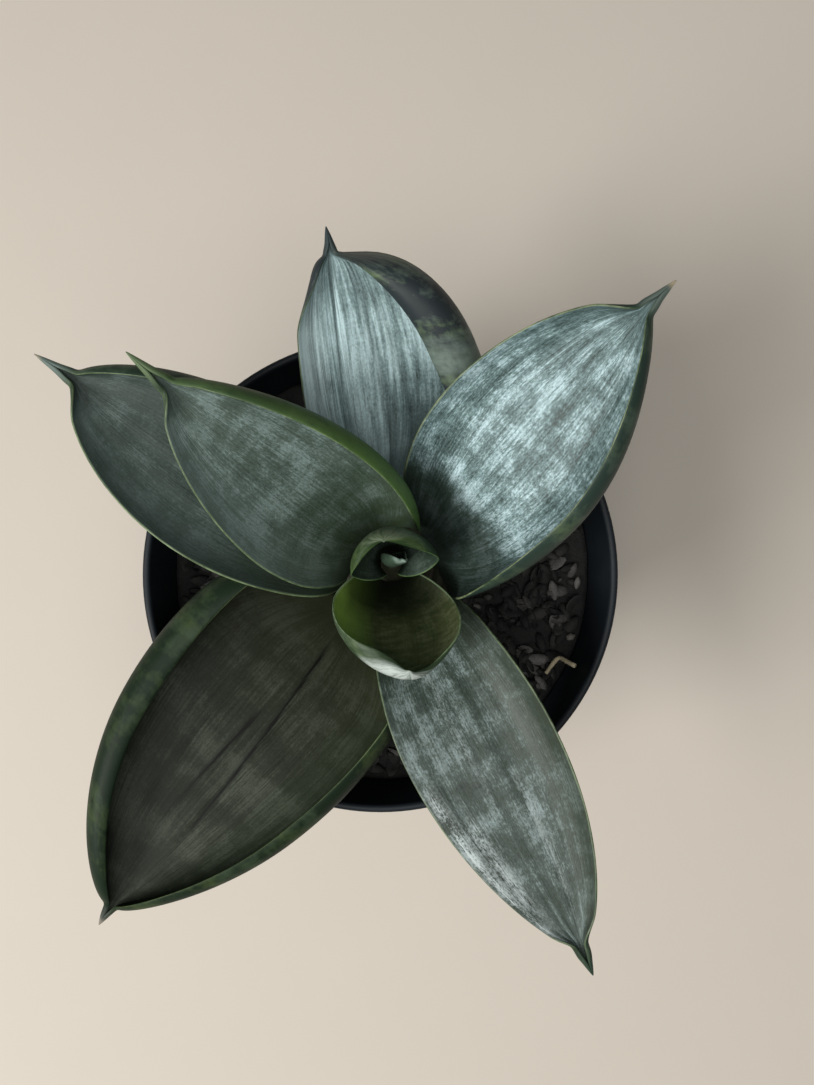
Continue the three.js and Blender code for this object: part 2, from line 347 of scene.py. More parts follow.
    def mix(self, share: Signal | float, first: Signal | Colour, second: Signal | Colour) -> Signal:
        """Blends two colours.

        Args:
            share: How much of the second colour shows.
            first: The first colour.
            second: The second colour.

        Returns:
            The blended colour.
        """
        node = self.node("Mix")
        node.data_type = "RGBA"
        for index, value in ((0, share), (6, first), (7, second)):
            self.feed(node.inputs[index], value)
        return Signal(self, node.outputs[2])

    def relief(self, height: Signal, depth_mm: float) -> None:
        """Gives the surface fine relief.

        Args:
            height: The height pattern.
            depth_mm: How deep a full step of the pattern is.
        """
        node = self.node("Bump", Distance=depth_mm * MM)
        self.feed(node.inputs["Height"], height)
        self.tree.links.new(node.outputs["Normal"], self.shader.inputs["Normal"])

    def finish(
        self, colour: Signal, uneven: Signal, spread: float, roughness: float, specular: float
    ) -> bpy.types.Material:
        """Connects the shader.

        Args:
            colour: The base colour.
            uneven: The pattern that makes the roughness uneven.
            spread: How much it adds to the roughness at most.
            roughness: The least roughness.
            specular: The strength of plain reflections.

        Returns:
            The material.
        """
        self.feed(self.shader.inputs["Base Color"], colour)
        self.feed(self.shader.inputs["Roughness"], uneven * spread + roughness)
        self.feed(self.shader.inputs["Specular IOR Level"], specular)
        return self.material


@dataclass(frozen=True)
class Crease:
    """One groove or pale streak along a leaf.

    Attributes:
        across: Where it begins, from -1 at the right margin to 1 at the left one.
        start: Where it begins, as a share of the leaf's length.
        end: Where it ends.
        depth: Its depth in millimetres.
        width: Its half width as a share of the blade's half width.
        drift: How far it moves across from its beginning to its end.
        shade: How dark its painted line of shade in the groove is, from 0 to 1, or below 0 how strong its painted
            highlight streak is.
    """

    across: float
    start: float
    end: float
    depth: float
    width: float = 0.05
    drift: float = 0.0
    shade: float = 0.0

    def place(self, share: float) -> float:
        """Gives where the groove runs at a share of the leaf's length."""
        return self.across + self.drift * (share - self.start) / (self.end - self.start)


@dataclass(frozen=True)
class LeafFinish:
    """The colours and patterns of one leaf.

    The upper side has a green ground under a silver bloom that is worn into lengthwise streaks,
    blotches, crossbands and specks. The under side is dark green with paler patches in bands. Some leaves also carry
    painted light and shade along their margins, near the crown and in their creases.
    """

    name: str
    ground: Colour = (0.050, 0.074, 0.062)
    middle: Colour = (0.12, 0.165, 0.150)
    silver: Colour = (0.40, 0.50, 0.49)
    # The colour of painted highlight streaks, where the leaf's sheen reflects the lamp.
    glint: Colour = (0.62, 0.70, 0.70)
    bloom: float = 0.5
    streaks: float = 1.3
    dashes: float = 1.0
    speckle: float = 1.1
    blotches: float = 1.3
    bands: float = 1.0
    crosslines: float = 0.0
    motes: float = 0.7
    tip_fade: float = 0.0
    tip_fade_from: float = 0.7
    # Below 0, the left fade brightens the bloom near the left margin as painted light.
    left_fade: float = 0.0
    right_fade: float = 0.0
    # The colour painted near the left margin: painted light where the margin lies in shade, painted shade where it
    # faces away from the lamps.
    left_light_and_shade: Colour = (0.05, 0.07, 0.05)
    left_light_and_shade_share: float = 0.0
    right_tint: Colour = (0.05, 0.07, 0.05)
    right_tint_share: float = 0.0
    # The colour towards the crown: painted shade on the north-east and young leaves, painted light on the north
    # leaf.
    base_tint: Colour = (0.035, 0.062, 0.020)
    base_reach: float = 0.2
    base_hold: float = 0.45
    base_fade: float = 1.2
    tip_tint: Colour = (0.08, 0.12, 0.10)
    tip_from: float = 0.93
    dry_end: float = 0.0
    dry: Colour = (0.42, 0.35, 0.24)
    under: Colour = (0.016, 0.034, 0.020)
    under_pale: Colour = (0.075, 0.115, 0.075)
    under_warm: Colour = (0.10, 0.15, 0.045)
    under_patches: float = 0.42
    under_bands: float = 3.4
    under_warmth: float = 0.5
    under_marks: tuple[Triple, ...] = ()
    # Painted light: a bright green glow where light shines through the rolled right margin.
    under_right_glow: Optional[Colour] = None
    under_tip: Colour = (0.05, 0.08, 0.06)
    under_tip_from: float = 0.93
    under_tip_breaks: float = 0.0
    under_tip_spread: float = 1.0
    margin: Colour = (0.16, 0.22, 0.10)
    margin_dark: Colour = (0.04, 0.07, 0.03)
    roughness: float = 0.44
    gloss: float = 0.28
    seed: float = 0.0

    def build(self, creases: Sequence[Crease]) -> list[bpy.types.Material]:
        """Makes the leaf's materials in the order of its faces.

        Args:
            creases: The leaf's grooves, whose lines show on the upper side.

        Returns:
            The upper side's, the under side's and the margin's material.
        """
        return [self.upper(creases), self.under_side(), self.edge()]

    def upper(self, creases: Sequence[Crease]) -> bpy.types.Material:
        """Makes the upper side: silver bloom on green, worn in several patterns.

        Args:
            creases: The leaf's grooves.

        Returns:
            The material.
        """
        sheet = NodeSheet(f"{self.name}_upper")
        streak, dash, speck, blotch, band = sheet.patterns(STREAK, DASH, SPECK, BLOTCH, BAND, seed=self.seed)
        across, along = sheet.shares()
        worn = sheet.weighted(
            [(streak, self.streaks), (blotch, self.blotches), (band, self.bands)], self.bloom
        )
        # Fades of the bloom towards the tip and the margins; a negative left fade is painted light.
        for place, stops, amount in (
            (along, [(self.tip_fade_from, 0.0), (1.0, 1.0)], self.tip_fade),
            (across, [(0.55, 0.0), (1.0, 1.0)], self.left_fade),
            (across, [(0.0, 1.0), (0.45, 0.0)], self.right_fade),
        ):
            if amount:
                worn = worn - sheet.ramp(place, stops) * amount
        # The broad patterns are softly limited, so that the fine ones show everywhere.
        broad = sheet.math("TANH", (worn - 0.5) * 1.9)
        bloom = broad * 0.40 + sheet.weighted([(dash, self.dashes), (speck, self.speckle)], 0.5)
        if self.crosslines:
            ring = sheet.patterns(CROSSLINE, seed=self.seed)[0]
            bloom = bloom + sheet.weighted([(ring, self.crosslines)], 0.0)
        bloom = sheet.clamped(bloom)
        colour = sheet.ramp(bloom, [(0.0, self.ground), (0.48, self.middle), (1.0, self.silver)])
        # Painted light and shade near the left margin, and a colour near the right one.
        for share, stops, tint in (
            (self.left_light_and_shade_share, [(0.66, 0.0), (0.97, self.left_light_and_shade_share)], self.left_light_and_shade),
            (self.right_tint_share, [(0.08, self.right_tint_share), (0.38, 0.0)], self.right_tint),
        ):
            if share:
                colour = sheet.mix(sheet.ramp(across, stops), colour, tint)
        # Colour towards the crown, which on some leaves is painted shade and on one painted light.
        base_end = (1 + self.base_fade) * self.base_reach
        near_base = [(0.0, 0.94), (self.base_reach, self.base_hold), (base_end, 0.0)]
        colour = sheet.mix(sheet.ramp(along + blotch.swing(0.12), near_base), colour, self.base_tint)
        # Each groove gets a painted line of shade; below 0 a crease is a painted highlight streak instead, broken up
        # by noise.
        crease_shade_colour = tuple(0.2 * channel for channel in self.ground)
        for crease in creases:
            if crease.shade:
                stroke = self.line(sheet, across, along, crease, dash)
                if crease.shade < 0:
                    breaks = sheet.weighted([(speck, 2.4), (blotch, 2.6), (dash, 1.5)], 0.5)
                    stroke = stroke * sheet.ramp(breaks, [(0.15, 0.0), (0.85, 1.0)])
                colour = sheet.mix(stroke, colour, crease_shade_colour if crease.shade > 0 else self.glint)
        colour = self.tipped(sheet, colour, along)
        colour = self.dried(sheet, colour, along)
        spot = sheet.ramp(sheet.cells(MOTE_CELLS, BLADE_MAP), [(0.008, self.motes), (0.016, 0.0)])
        colour = sheet.mix(spot, colour, MOTE_COLOUR)
        out = abs(across - 0.5) + dash.swing(0.02)
        chance = sheet.ramp(sheet.patterns(RIM_BREAKS, seed=self.seed)[0], [(0.4, 0.0), (0.6, 0.8)])
        rim = sheet.ramp(out, [(0.488, 0.0), (0.497, 1.0)]) * chance
        colour = sheet.mix(rim, colour, self.margin)
        sheet.relief(sheet.weighted([(dash, 0.7), (speck, 0.3), (streak, 0.4)], 0.5), 0.14)
        return sheet.finish(colour, bloom, 0.14, self.roughness, self.gloss)

    def tipped(self, sheet: NodeSheet, colour: Signal, along: Signal) -> Signal:
        """Tints the leaf's stiff point."""
        at_tip = sheet.ramp(along, [(self.tip_from, 0.0), (min(self.tip_from + 0.04, 0.985), 1.0)])
        return sheet.mix(at_tip, colour, self.tip_tint)

    def dried(self, sheet: NodeSheet, colour: Signal, along: Signal) -> Signal:
        """Browns the leaf's very end where it has dried.

        Args:
            sheet: The nodes of one side.
            colour: The colour so far.
            along: The share of the leaf's length.

        Returns:
            The colour with the dry end.
        """
        if not self.dry_end:
            return colour
        return sheet.mix(sheet.ramp(along, [(0.975, 0.0), (0.99, self.dry_end)]), colour, self.dry)

    def line(self, sheet: NodeSheet, across: Signal, along: Signal, crease: Crease, wobble: Signal) -> Signal:
        """Makes the mask of the dark or pale line along a crease.

        Args:
            sheet: The upper side's nodes.
            across: The place across the blade, from 0 to 1.
            along: The share of its length.
            crease: The crease.
            wobble: A pattern that makes the line uneven.

        Returns:
            The mask.
        """
        # The dark line is painted shade in the groove; the pale line is a painted highlight.
        slope = crease.drift / (crease.end - crease.start)
        middle = along * slope + (crease.across - slope * crease.start)
        distance = abs((across * 2.0 - 1.0 - middle) + wobble.swing(0.05))
        core = 0.45 * crease.width
        full = abs(crease.shade)
        stroke = sheet.ramp(distance, [(0.25 * core, full), (core, 0.35 * full), (2.4 * core, 0.0)])
        fades = [(crease.start, 0.0), (crease.start + 0.06, 1.0), (crease.end - 0.14, 1.0), (crease.end, 0.0)]
        return stroke * sheet.ramp(along, fades)

    def under_side(self) -> bpy.types.Material:
        """Makes the under side: dark green with paler patches in bands."""
        sheet = NodeSheet(f"{self.name}_under")
        band, fleck, haze, warm = sheet.patterns(UNDER_BAND, FLECK, HAZE, WARM, seed=self.seed)
        across, along = sheet.shares()
        patch = sheet.weighted([(band, self.under_bands), (fleck, 1.3), (haze, 1.0)], self.under_patches)
        for place, half, strength in self.under_marks:
            away = abs(along - place) + warm.swing(0.3)
            patch = patch + sheet.ramp(away, [(0.3 * half, 1.0), (1.8 * half, 0.0)]) * strength
        warmth = sheet.ramp(warm, [(0.46, 0.0), (0.60, self.under_warmth)])
        pale = sheet.ramp(patch, [(0.30, 0.0), (0.62, 0.5), (1.0, 1.0)])
        colour = sheet.mix(pale, self.under, sheet.mix(warmth, self.under_pale, self.under_warm))
        # Painted light shining through the leaf: the right margin glows bright green.
        if self.under_right_glow:
            green = sheet.ramp(across, [(0.24, 0.8), (0.4, 0.0)])
            green = green * sheet.ramp(along, [(0.45, 1.0), (0.78, 0.3)])
            green = green * sheet.ramp(fleck, [(0.36, 0.65), (0.5, 1.0)])
            colour = sheet.mix(green, colour, self.under_right_glow)
        tip_end = min(self.under_tip_from + 0.05, 0.99)
        at_tip = sheet.ramp(along, [(self.under_tip_from, 0.0), (tip_end, 1.0)])
        if self.under_tip_spread < 1:
            out = abs(across - 0.5) + haze.swing(0.3)
            reach = 0.5 * self.under_tip_spread
            at_tip = at_tip * sheet.ramp(out, [(reach - 0.05, 1.0), (reach + 0.05, 0.0)])
        if self.under_tip_breaks:
            breaks = sheet.weighted([(fleck, 2.6), (haze, 2.4)], 0.55)
            at_tip = at_tip * sheet.ramp(breaks, [(0.2, 1.0 - self.under_tip_breaks), (0.8, 1.0)])
        colour = sheet.mix(at_tip, colour, self.under_tip)
        colour = self.dried(sheet, colour, along)
        sheet.relief(sheet.weighted([(fleck, 0.6), (haze, 0.6)], 0.5), 0.10)
        return sheet.finish(colour, fleck, 0.14, self.roughness + 0.04, self.gloss)

    def edge(self) -> bpy.types.Material:
        """Makes the thin margin between the two sides, pale in places and dark in others."""
        sheet = NodeSheet(f"{self.name}_margin")
        speck, worn = sheet.patterns(MARGIN_GRAIN, MARGIN_WEAR, seed=self.seed)
        share = sheet.weighted([(worn, 3.2), (speck, 0.8)], 0.42)
        colour = sheet.ramp(share, [(0.15, self.margin_dark), (0.85, self.margin)])
        colour = self.tipped(sheet, colour, sheet.shares()[1])
        sheet.relief(speck, 0.05)
        return sheet.finish(colour, speck, 0.1, 0.40, 0.42)


@dataclass(frozen=True)
class PotFinish:
    """Moulded black plastic with fine grain and a film of dust."""

    plastic: Colour = (0.0075, 0.0115, 0.0155)
    dust: Colour = (0.022, 0.030, 0.036)
    film: Pattern = Pattern((55, 55, 30), 5, 0.65, 1)
    drips: Pattern = Pattern((160, 160, 14), 3, 0.6, 2)
    grain: Pattern = Pattern((2400, 2400, 2400), 2, 0.6, 3)
    scuffs: Pattern = Pattern((90, 90, 900), 3, 0.7, 4)

    def build(self) -> bpy.types.Material:
        """Makes the pot's material."""
        sheet = NodeSheet("pot_plastic")
        film, drips, grain, scuffs = sheet.patterns(self.film, self.drips, self.grain, self.scuffs)
        amount = sheet.weighted([(film, 1.1), (drips, 0.6), (grain, 0.3), (scuffs, 0.5)], 0.16)
        dust = sheet.ramp(amount, [(0.15, 0.0), (0.95, 0.75)])
        sheet.relief(sheet.weighted([(grain, 0.5), (scuffs, 0.3)], 0.5), 0.05)
        return sheet.finish(sheet.mix(dust, self.plastic, self.dust), dust, 0.3, 0.58, 0.32)


@dataclass(frozen=True)
class MixFinish:
    """Loose dark matter whose bits each have their own tone."""

    name: str
    dark: Colour = (0.005, 0.005, 0.005)
    middle: Colour = (0.035, 0.034, 0.032)
    light: Colour = (0.16, 0.155, 0.148)
    grain_scale: float = 900.0
    depth_mm: float = 0.25
    blotch: Pattern = Pattern((260, 260, 260), 3, 0.6, 2)

    def build(self) -> bpy.types.Material:
        """Makes the material; every bit's tone comes from its own attribute."""
        sheet = NodeSheet(self.name)
        grain, blotch = sheet.patterns(Pattern((self.grain_scale,) * 3, 4, 0.7, 1), self.blotch)
        value = sheet.attribute(TONE) + sheet.weighted([(grain, 0.5), (blotch, 0.35)], 0.0)
        colour = sheet.ramp(value, [(0.05, self.dark), (0.5, self.middle), (0.98, self.light)])
        sheet.relief(grain, self.depth_mm)
        return sheet.finish(colour, grain, 0.2, 0.68, 0.35)


@dataclass(frozen=True)
class DryStemFinish:
    """Dry straw: pale, with fine lines along it."""

    pale: Colour = (0.50, 0.43, 0.29)
    dark: Colour = (0.18, 0.15, 0.09)
    blotch: Pattern = Pattern((420, 420, 420), 4, 0.65, 1)
    fibre: Pattern = Pattern((3000, 900, 3000), 2, 0.6, 2)

    def build(self) -> bpy.types.Material:
        """Makes the straw's material."""
        sheet = NodeSheet("dry_straw")
        blotch, fibre = sheet.patterns(self.blotch, self.fibre)
        value = sheet.weighted([(blotch, 1.0), (fibre, 0.6)], 0.62)
        sheet.relief(fibre, 0.08)
        return sheet.finish(sheet.ramp(value, [(0.15, self.dark), (0.75, self.pale)]), blotch, 0.2, 0.6, 0.4)


@dataclass(frozen=True)
class RootstockFinish:
    """The olive-brown rootstock with ringed leaf scars."""

    # These colours are darkened partly as painted shade, for the near-black shaded centre of the plant.
    green: Colour = (0.030, 0.036, 0.016)
    brown: Colour = (0.016, 0.011, 0.007)
    rings: Pattern = Pattern((40, 40, 620), 4, 0.65, 1)
    pits: Pattern = Pattern((700, 700, 700), 3, 0.6, 2)

    def build(self) -> bpy.types.Material:
        """Makes the rootstock's material."""
        sheet = NodeSheet("rootstock_skin")
        rings, pits = sheet.patterns(self.rings, self.pits)
        value = sheet.weighted([(rings, 1.6), (pits, 0.6)], 0.5)
        sheet.relief(sheet.weighted([(rings, 1.0), (pits, 0.5)], 0.5), 0.4)
        return sheet.finish(sheet.ramp(value, [(0.25, self.brown), (0.7, self.green)]), pits, 0.2, 0.55, 0.4)


@dataclass(frozen=True)
class FloorFinish:
    """A plain pale matt surface."""

    pale: Colour = (0.68, 0.62, 0.54)
    mottle: Pattern = Pattern((30, 30, 30), 3, 0.6, 1)

    def build(self) -> bpy.types.Material:
        """Makes the floor's material."""
        sheet = NodeSheet("plain_floor")
        mottle = sheet.patterns(self.mottle)[0]
        darker = tuple(0.97 * channel for channel in self.pale)
        return sheet.finish(sheet.mix(mottle, darker, self.pale), mottle, 0.05, 0.75, 0.3)


# ---- shared mesh helpers ----


def finished_object(name: str, shape: Mesh, *materials: bpy.types.Material) -> bpy.types.Object:
    """Turns a bmesh in millimetres into a smooth-shaded object in metres.

    Args:
        name: The piece's name.
        shape: The bmesh, which is freed.
        materials: The object's materials, in slot order.

    Returns:
        The linked object, at the origin.
    """
    bmesh.ops.scale(shape, vec=(MM, MM, MM), verts=shape.verts[:])
    mesh = bpy.data.meshes.new(name)
    shape.to_mesh(mesh)
    shape.free()
    mesh.polygons.foreach_set("use_smooth", [True] * len(mesh.polygons))
    for material in materials:
        mesh.materials.append(material)
    piece = bpy.data.objects.new(name, mesh)
    bpy.context.collection.objects.link(piece)
    return piece


def spun_profile(profile: Sequence[tuple[float, float]], steps: int) -> Mesh:
    """Spins a profile of radius and height pairs about the vertical axis.

    Args:
        profile: The profile, whose first and last points may stand on the axis.
        steps: How many steps make the full turn.

    Returns:
        The closed surface with its faces outwards.
    """
    shape = bmesh.new()
    points = [shape.verts.new((radius, 0.0, height)) for radius, height in profile]
    edges = [shape.edges.new(pair) for pair in zip(points, points[1:])]
    bmesh.ops.spin(
        shape, geom=points + edges, cent=(0, 0, 0), axis=(0, 0, 1), angle=2 * math.pi, steps=steps,
        use_merge=True, use_duplicate=False,
    )
    bmesh.ops.remove_doubles(shape, verts=shape.verts[:], dist=1e-4)
    bmesh.ops.recalc_face_normals(shape, faces=shape.faces[:])
    return shape


def append_copy(target: Mesh, template: Mesh, transform: Matrix, tone: float) -> None:
    """Adds a moved copy of a small shape to a larger one.

    Args:
        target: The bmesh to add to.
        template: The shape to copy.
        transform: Where the copy goes.
        tone: The copy's own tone.
    """
    copy = template.copy()
    bmesh.ops.transform(copy, matrix=transform, verts=copy.verts[:])
    carrier = bpy.data.meshes.new("carrier")
    copy.to_mesh(carrier)
    copy.free()
    before = len(target.verts)
    target.from_mesh(carrier)
    bpy.data.meshes.remove(carrier)
    target.verts.ensure_lookup_table()
    layer = target.verts.layers.float[TONE]
    for vertex in target.verts[before:]:
        vertex[layer] = tone


def smoothstep(value: float) -> float:
    """Eases a number from 0 to 1."""
    value = min(max(value, 0.0), 1.0)
    return value * value * (3 - 2 * value)


def blend(first: float, second: float, share: float) -> float:
    """Mixes two numbers."""
    return first + (second - first) * share


# ---- leaves ----


@dataclass(frozen=True)
class LeafShape:
    """A leaf's sizes in millimetres and degrees, with heights above the potting mix.

    The blade is described as it heads along +X from the crown. Left and right are as seen from
    the crown, and a lean is the midrib's elevation.
    """

    name: str
    node: str
    azimuth: float
    base_radius: float
    base_height: float
    tip_turn: float
    reach: float
    tip_height: float
    lean_base: float
    lean_tip: float
    heading_turn: float
    left_width: float
    right_width: float
    base_fraction: float
    widest: float
    left_curl: float
    right_curl: float
    thickness: float = 2.2
    roll_base: float = 0.0
    clasp: float = 0.7
    open_by: float = 0.45
    flatness: float = 2.2
    tip_flatness: float = 1.0
    tip_fullness: float = 0.7
    tip_curl: float = 165.0
    tip_curl_from: float = 0.88
    base_reach: float = 0.36
    tip_reach: float = 0.36
    mucro: float = 8.0
    mucro_width: float = 3.4
    pleats: float = 0.22
    pleat_count: float = 7.0
    creases: tuple[Crease, ...] = ()
    rows: int = 96
    half_columns: int = 28


class Midrib:
    """The cubic curve that a leaf's midrib follows, measured by its length."""

    SAMPLES = 240

    def __init__(self, shape: LeafShape) -> None:
        """Sets up the curve and its table of lengths.

        Args:
            shape: The leaf's sizes.
        """
        tip_turn = math.radians(shape.tip_turn)
        start = Vector((shape.base_radius, 0.0, shape.base_height))
        end = Vector((shape.reach * math.cos(tip_turn), shape.reach * math.sin(tip_turn), shape.tip_height))
        span = (end - start).length
        out = self.direction(shape.lean_base, 0.0) * shape.base_reach * span
        back = self.direction(shape.lean_tip, shape.heading_turn) * shape.tip_reach * span
        self.control = (start, start + out, end - back, end)
        self.lengths = [0.0]
        last = start
        for index in range(1, self.SAMPLES + 1):
            point = self.point(index / self.SAMPLES)
            self.lengths.append(self.lengths[-1] + (point - last).length)
            last = point

    @staticmethod
    def direction(lean: float, heading: float) -> Vector:
        """Gives the unit vector at an elevation and a heading in degrees."""
        flat = math.cos(math.radians(lean))
        turn = math.radians(heading)
        return Vector((flat * math.cos(turn), flat * math.sin(turn), math.sin(math.radians(lean))))

    def point(self, t: float) -> Vector:
        """Gives the curve's point at its own parameter."""
        a, b, c, d = self.control
        r = 1 - t
        return a * r**3 + b * (3 * r * r * t) + c * (3 * r * t * t) + d * t**3

    def tangent(self, t: float) -> Vector:
        """Gives the curve's unit direction at its own parameter."""
        a, b, c, d = self.control
        r = 1 - t
        return ((b - a) * (r * r) + (c - b) * (2 * r * t) + (d - c) * (t * t)).normalized()

    @property
    def length(self) -> float:
        """The whole length in millimetres."""
        return self.lengths[-1]

    def parameter(self, share: float) -> float:
        """Finds the parameter at a share of the length.

        Args:
            share: The share of the length, from 0 to 1.

        Returns:
            The curve's own parameter.
        """
        wanted = share * self.length
        for index in range(1, len(self.lengths)):
            if self.lengths[index] >= wanted:
                step = self.lengths[index] - self.lengths[index - 1]
                part = (wanted - self.lengths[index - 1]) / step if step else 0.0
                return (index - 1 + part) / self.SAMPLES
        return 1.0


@dataclass
class Leaf:
    """One fleshy leaf: a grid laid along the midrib, rolled at its margins and given thickness."""

    shape: LeafShape
    finish: LeafFinish
    edge_thinning: float = 0.45
    margin_thinning: float = 0.27
    tip_thinning: float = 0.35
    mucro_taper: float = 0.93
    column_spread: float = 0.8
    least_curl: float = 0.3
    section_steps: int = 3
    wave: float = 0.25
    wave_length: float = 22.0
    crease_fade: float = 0.12
    crease_wander: float = 0.02
    piece: Optional[bpy.types.Object] = field(default=None, init=False)

    def build(self) -> bpy.types.Object:
        """Builds, thickens and dresses the leaf.

        Returns:
            The finished piece.
        """
        shape = self.shape
        midrib = Midrib(shape)
        blade = bmesh.new()
        columns = 2 * shape.half_columns
        bmesh.ops.create_grid(blade, x_segments=shape.rows, y_segments=columns, size=0.5)
        rows = [self.section(midrib, index / shape.rows) for index in range(shape.rows + 1)]
        thin = blade.verts.layers.float.new("thin")
        real = blade.loops.layers.uv.new(BLADE_MAP)
        share_map = blade.loops.layers.uv.new(SHARE_MAP)
        marks: dict[bmesh.types.BMVert, tuple[float, float]] = {}
        for vertex in blade.verts:
            row = round((vertex.co.x + 0.5) * shape.rows)
            column = round((vertex.co.y + 0.5) * columns)
            points, room = rows[row]
            vertex.co, across = points[column]
            share = row / shape.rows
            vertex[thin] = min(self.fullness(across) * (1 - self.tip_thinning * share), room)
            marks[vertex] = (across, share)
        self.ripple(blade, marks, midrib)
        widest = shape.left_width + shape.right_width
        for face in blade.faces:
            for loop in face.loops:
                across, share = marks[loop.vert]
                loop[real].uv = (0.5 * across * widest * MM, share * midrib.length * MM)
                loop[share_map].uv = (0.5 * across + 0.5, share)
        place = Matrix.Translation((CROWN_X, CROWN_Y, SOIL_LEVEL))
        place = place @ Matrix.Rotation(math.radians(shape.azimuth), 4, "Z")
        bmesh.ops.transform(blade, matrix=place, verts=blade.verts[:])
        factors = [vertex[thin] for vertex in blade.verts]
        self.piece = finished_object(shape.name, blade, *self.finish.build(shape.creases))
        self.thicken(factors)
        return self.piece

    def fullness(self, across: float) -> float:
        """Gives the blade's share of its full thickness at a place across it."""
        return 1 - self.edge_thinning * across**2 - self.margin_thinning * across**8

    def section(self, midrib: Midrib, share: float) -> tuple[list[tuple[Vector, float]], float]:
        """Lays one row of points across the blade.

        Args:
            midrib: The leaf's midrib.
            share: How far along the leaf the row stands.

        Returns:
            The points with their places across, from the right margin to the left one, and the
            share of the full thickness that the section has room for.
        """
        shape = self.shape
        body = 1 - shape.mucro / midrib.length
        parameter = midrib.parameter(share)
        centre = midrib.point(parameter)
        tangent = midrib.tangent(parameter)
        side = (Vector((0, 1, 0)) - tangent * tangent.y).normalized()
        face = tangent.cross(side)
        roll = Quaternion(tangent, math.radians(shape.roll_base * (1 - share)))
        side.rotate(roll)
        face.rotate(roll)
        grip = 1 - smoothstep(share / shape.open_by)
        close = smoothstep((share / body - shape.tip_curl_from) / (1 - shape.tip_curl_from))
        point = max(share - body, 0.0) / (1 - body)
        end_flatness = shape.tip_flatness if share > 0.5 else 1.0
        bend = blend(blend(end_flatness, shape.flatness, math.sin(math.pi * share)), 1.0, smoothstep(2 * point))
        taper = 1 - self.mucro_taper * point**1.5
        halves = {}
        room = shape.thickness
        sides = ((-1, shape.right_width, shape.right_curl), (1, shape.left_width, shape.left_curl))
        for sign, greatest, curl in sides:
            width = max(greatest * self.width_share(share / body), shape.mucro_width * taper)
            opened = blend(math.radians(curl), shape.clasp * width / shape.base_radius, grip)
            turned = blend(opened, max(opened, math.radians(shape.tip_curl)), close)
            if shape.tip_curl > 0:
                turned = blend(turned, math.pi, smoothstep(2 * point))
            halves[sign] = self.half_section(width, turned, bend)
            room = min(room, width / max(turned, self.least_curl))
        row = []
        count = shape.half_columns
        for index in range(-count, count + 1):
            sign = 1 if index >= 0 else -1
            flat, rise, out = halves[sign][abs(index)]
            row.append((centre + side * (sign * flat) + face * rise, sign * out))
        return row, room / shape.thickness

    def half_section(self, width: float, curl: float, bend: float) -> list[tuple[float, float, float]]:
        """Follows the section from the midrib to one margin.

        Args:
            width: The half width in millimetres.
            curl: How far the margin turns, in radians.
            bend: How strongly the turn gathers at the margin.

        Returns:
            Distances along the side and the face, with the share of the half width.
        """
        count = self.shape.half_columns
        flat = rise = last = 0.0
        points = [(0.0, 0.0, 0.0)]
        for index in range(1, count + 1):
            out = (index / count) ** self.column_spread
            step = (out - last) / self.section_steps
            for part in range(self.section_steps):
                angle = curl * (last + (part + 0.5) * step) ** bend
                flat += width * step * math.cos(angle)
                rise += width * step * math.sin(angle)
            last = out
            points.append((flat, rise, out))
        return points

    def width_share(self, along: float) -> float:
        """Gives the blade's half width at a share of its length, as a part of its greatest one."""
        shape = self.shape
        if along < shape.widest:
            return 1 - (1 - shape.base_fraction) * (1 - along / shape.widest) ** 2
        past = min((along - shape.widest) / (1 - shape.widest), 1.0)
        return (1 - past * past) ** shape.tip_fullness

    def ripple(self, blade: Mesh, marks: dict[bmesh.types.BMVert, tuple[float, float]], midrib: Midrib) -> None:
        """Adds pleats, creases and a slight wave along the blade's own normals.

        Args:
            blade: The blade's middle surface.
            marks: Every vertex's place across and along.
            midrib: The leaf's midrib.
        """
        shape = self.shape
        blade.normal_update()
        moves = {}
        seed = self.finish.seed
        for vertex, (across, share) in marks.items():
            calm = math.sin(math.pi * min(share, 0.999)) ** 0.7 * (1 - across * across) ** 0.6
            wander = noise.noise(Vector((across * 2.0, share * 3.0, seed)))
            phase = across * shape.pleat_count * math.pi + 1.6 * wander
            flow = 0.6 + 0.8 * noise.noise(Vector((across * 5, seed, share)))
            swell = noise.noise(Vector((across * 1.5, share * midrib.length / self.wave_length, seed + 9)))
            height = shape.pleats * calm * math.sin(phase) * flow + self.wave * calm * swell
            for crease in shape.creases:
                fade = smoothstep((share - crease.start) / self.crease_fade)
                fade *= smoothstep((crease.end - share) / self.crease_fade)
                away = (across - crease.place(share) - self.crease_wander * wander) / crease.width
                height -= crease.depth * fade * math.exp(-away * away)
            moves[vertex] = vertex.normal * height
        for vertex, move in moves.items():
            vertex.co += move

    def thicken(self, factors: Sequence[float]) -> None:
        """Gives the blade its thickness and rounds its margins.

        Args:
            factors: Every vertex's share of the full thickness.
        """
        group = self.piece.vertex_groups.new(name="fullness")
        for index, factor in enumerate(factors):
            group.add([index], factor, "REPLACE")
        wall = self.piece.modifiers.new("thickness", "SOLIDIFY")
        wall.thickness = self.shape.thickness * MM
        wall.offset = 0.0
        wall.vertex_group = group.name
        wall.thickness_vertex_group = 0.0
        wall.use_even_offset = False
        wall.material_offset = BladeFace.UNDER.value
        wall.material_offset_rim = BladeFace.MARGIN.value
        rounding = self.piece.modifiers.new("rounding", "SUBSURF")
        rounding.levels = 1
        rounding.render_levels = 1


# ---- pot, mix, rootstock and straw ----


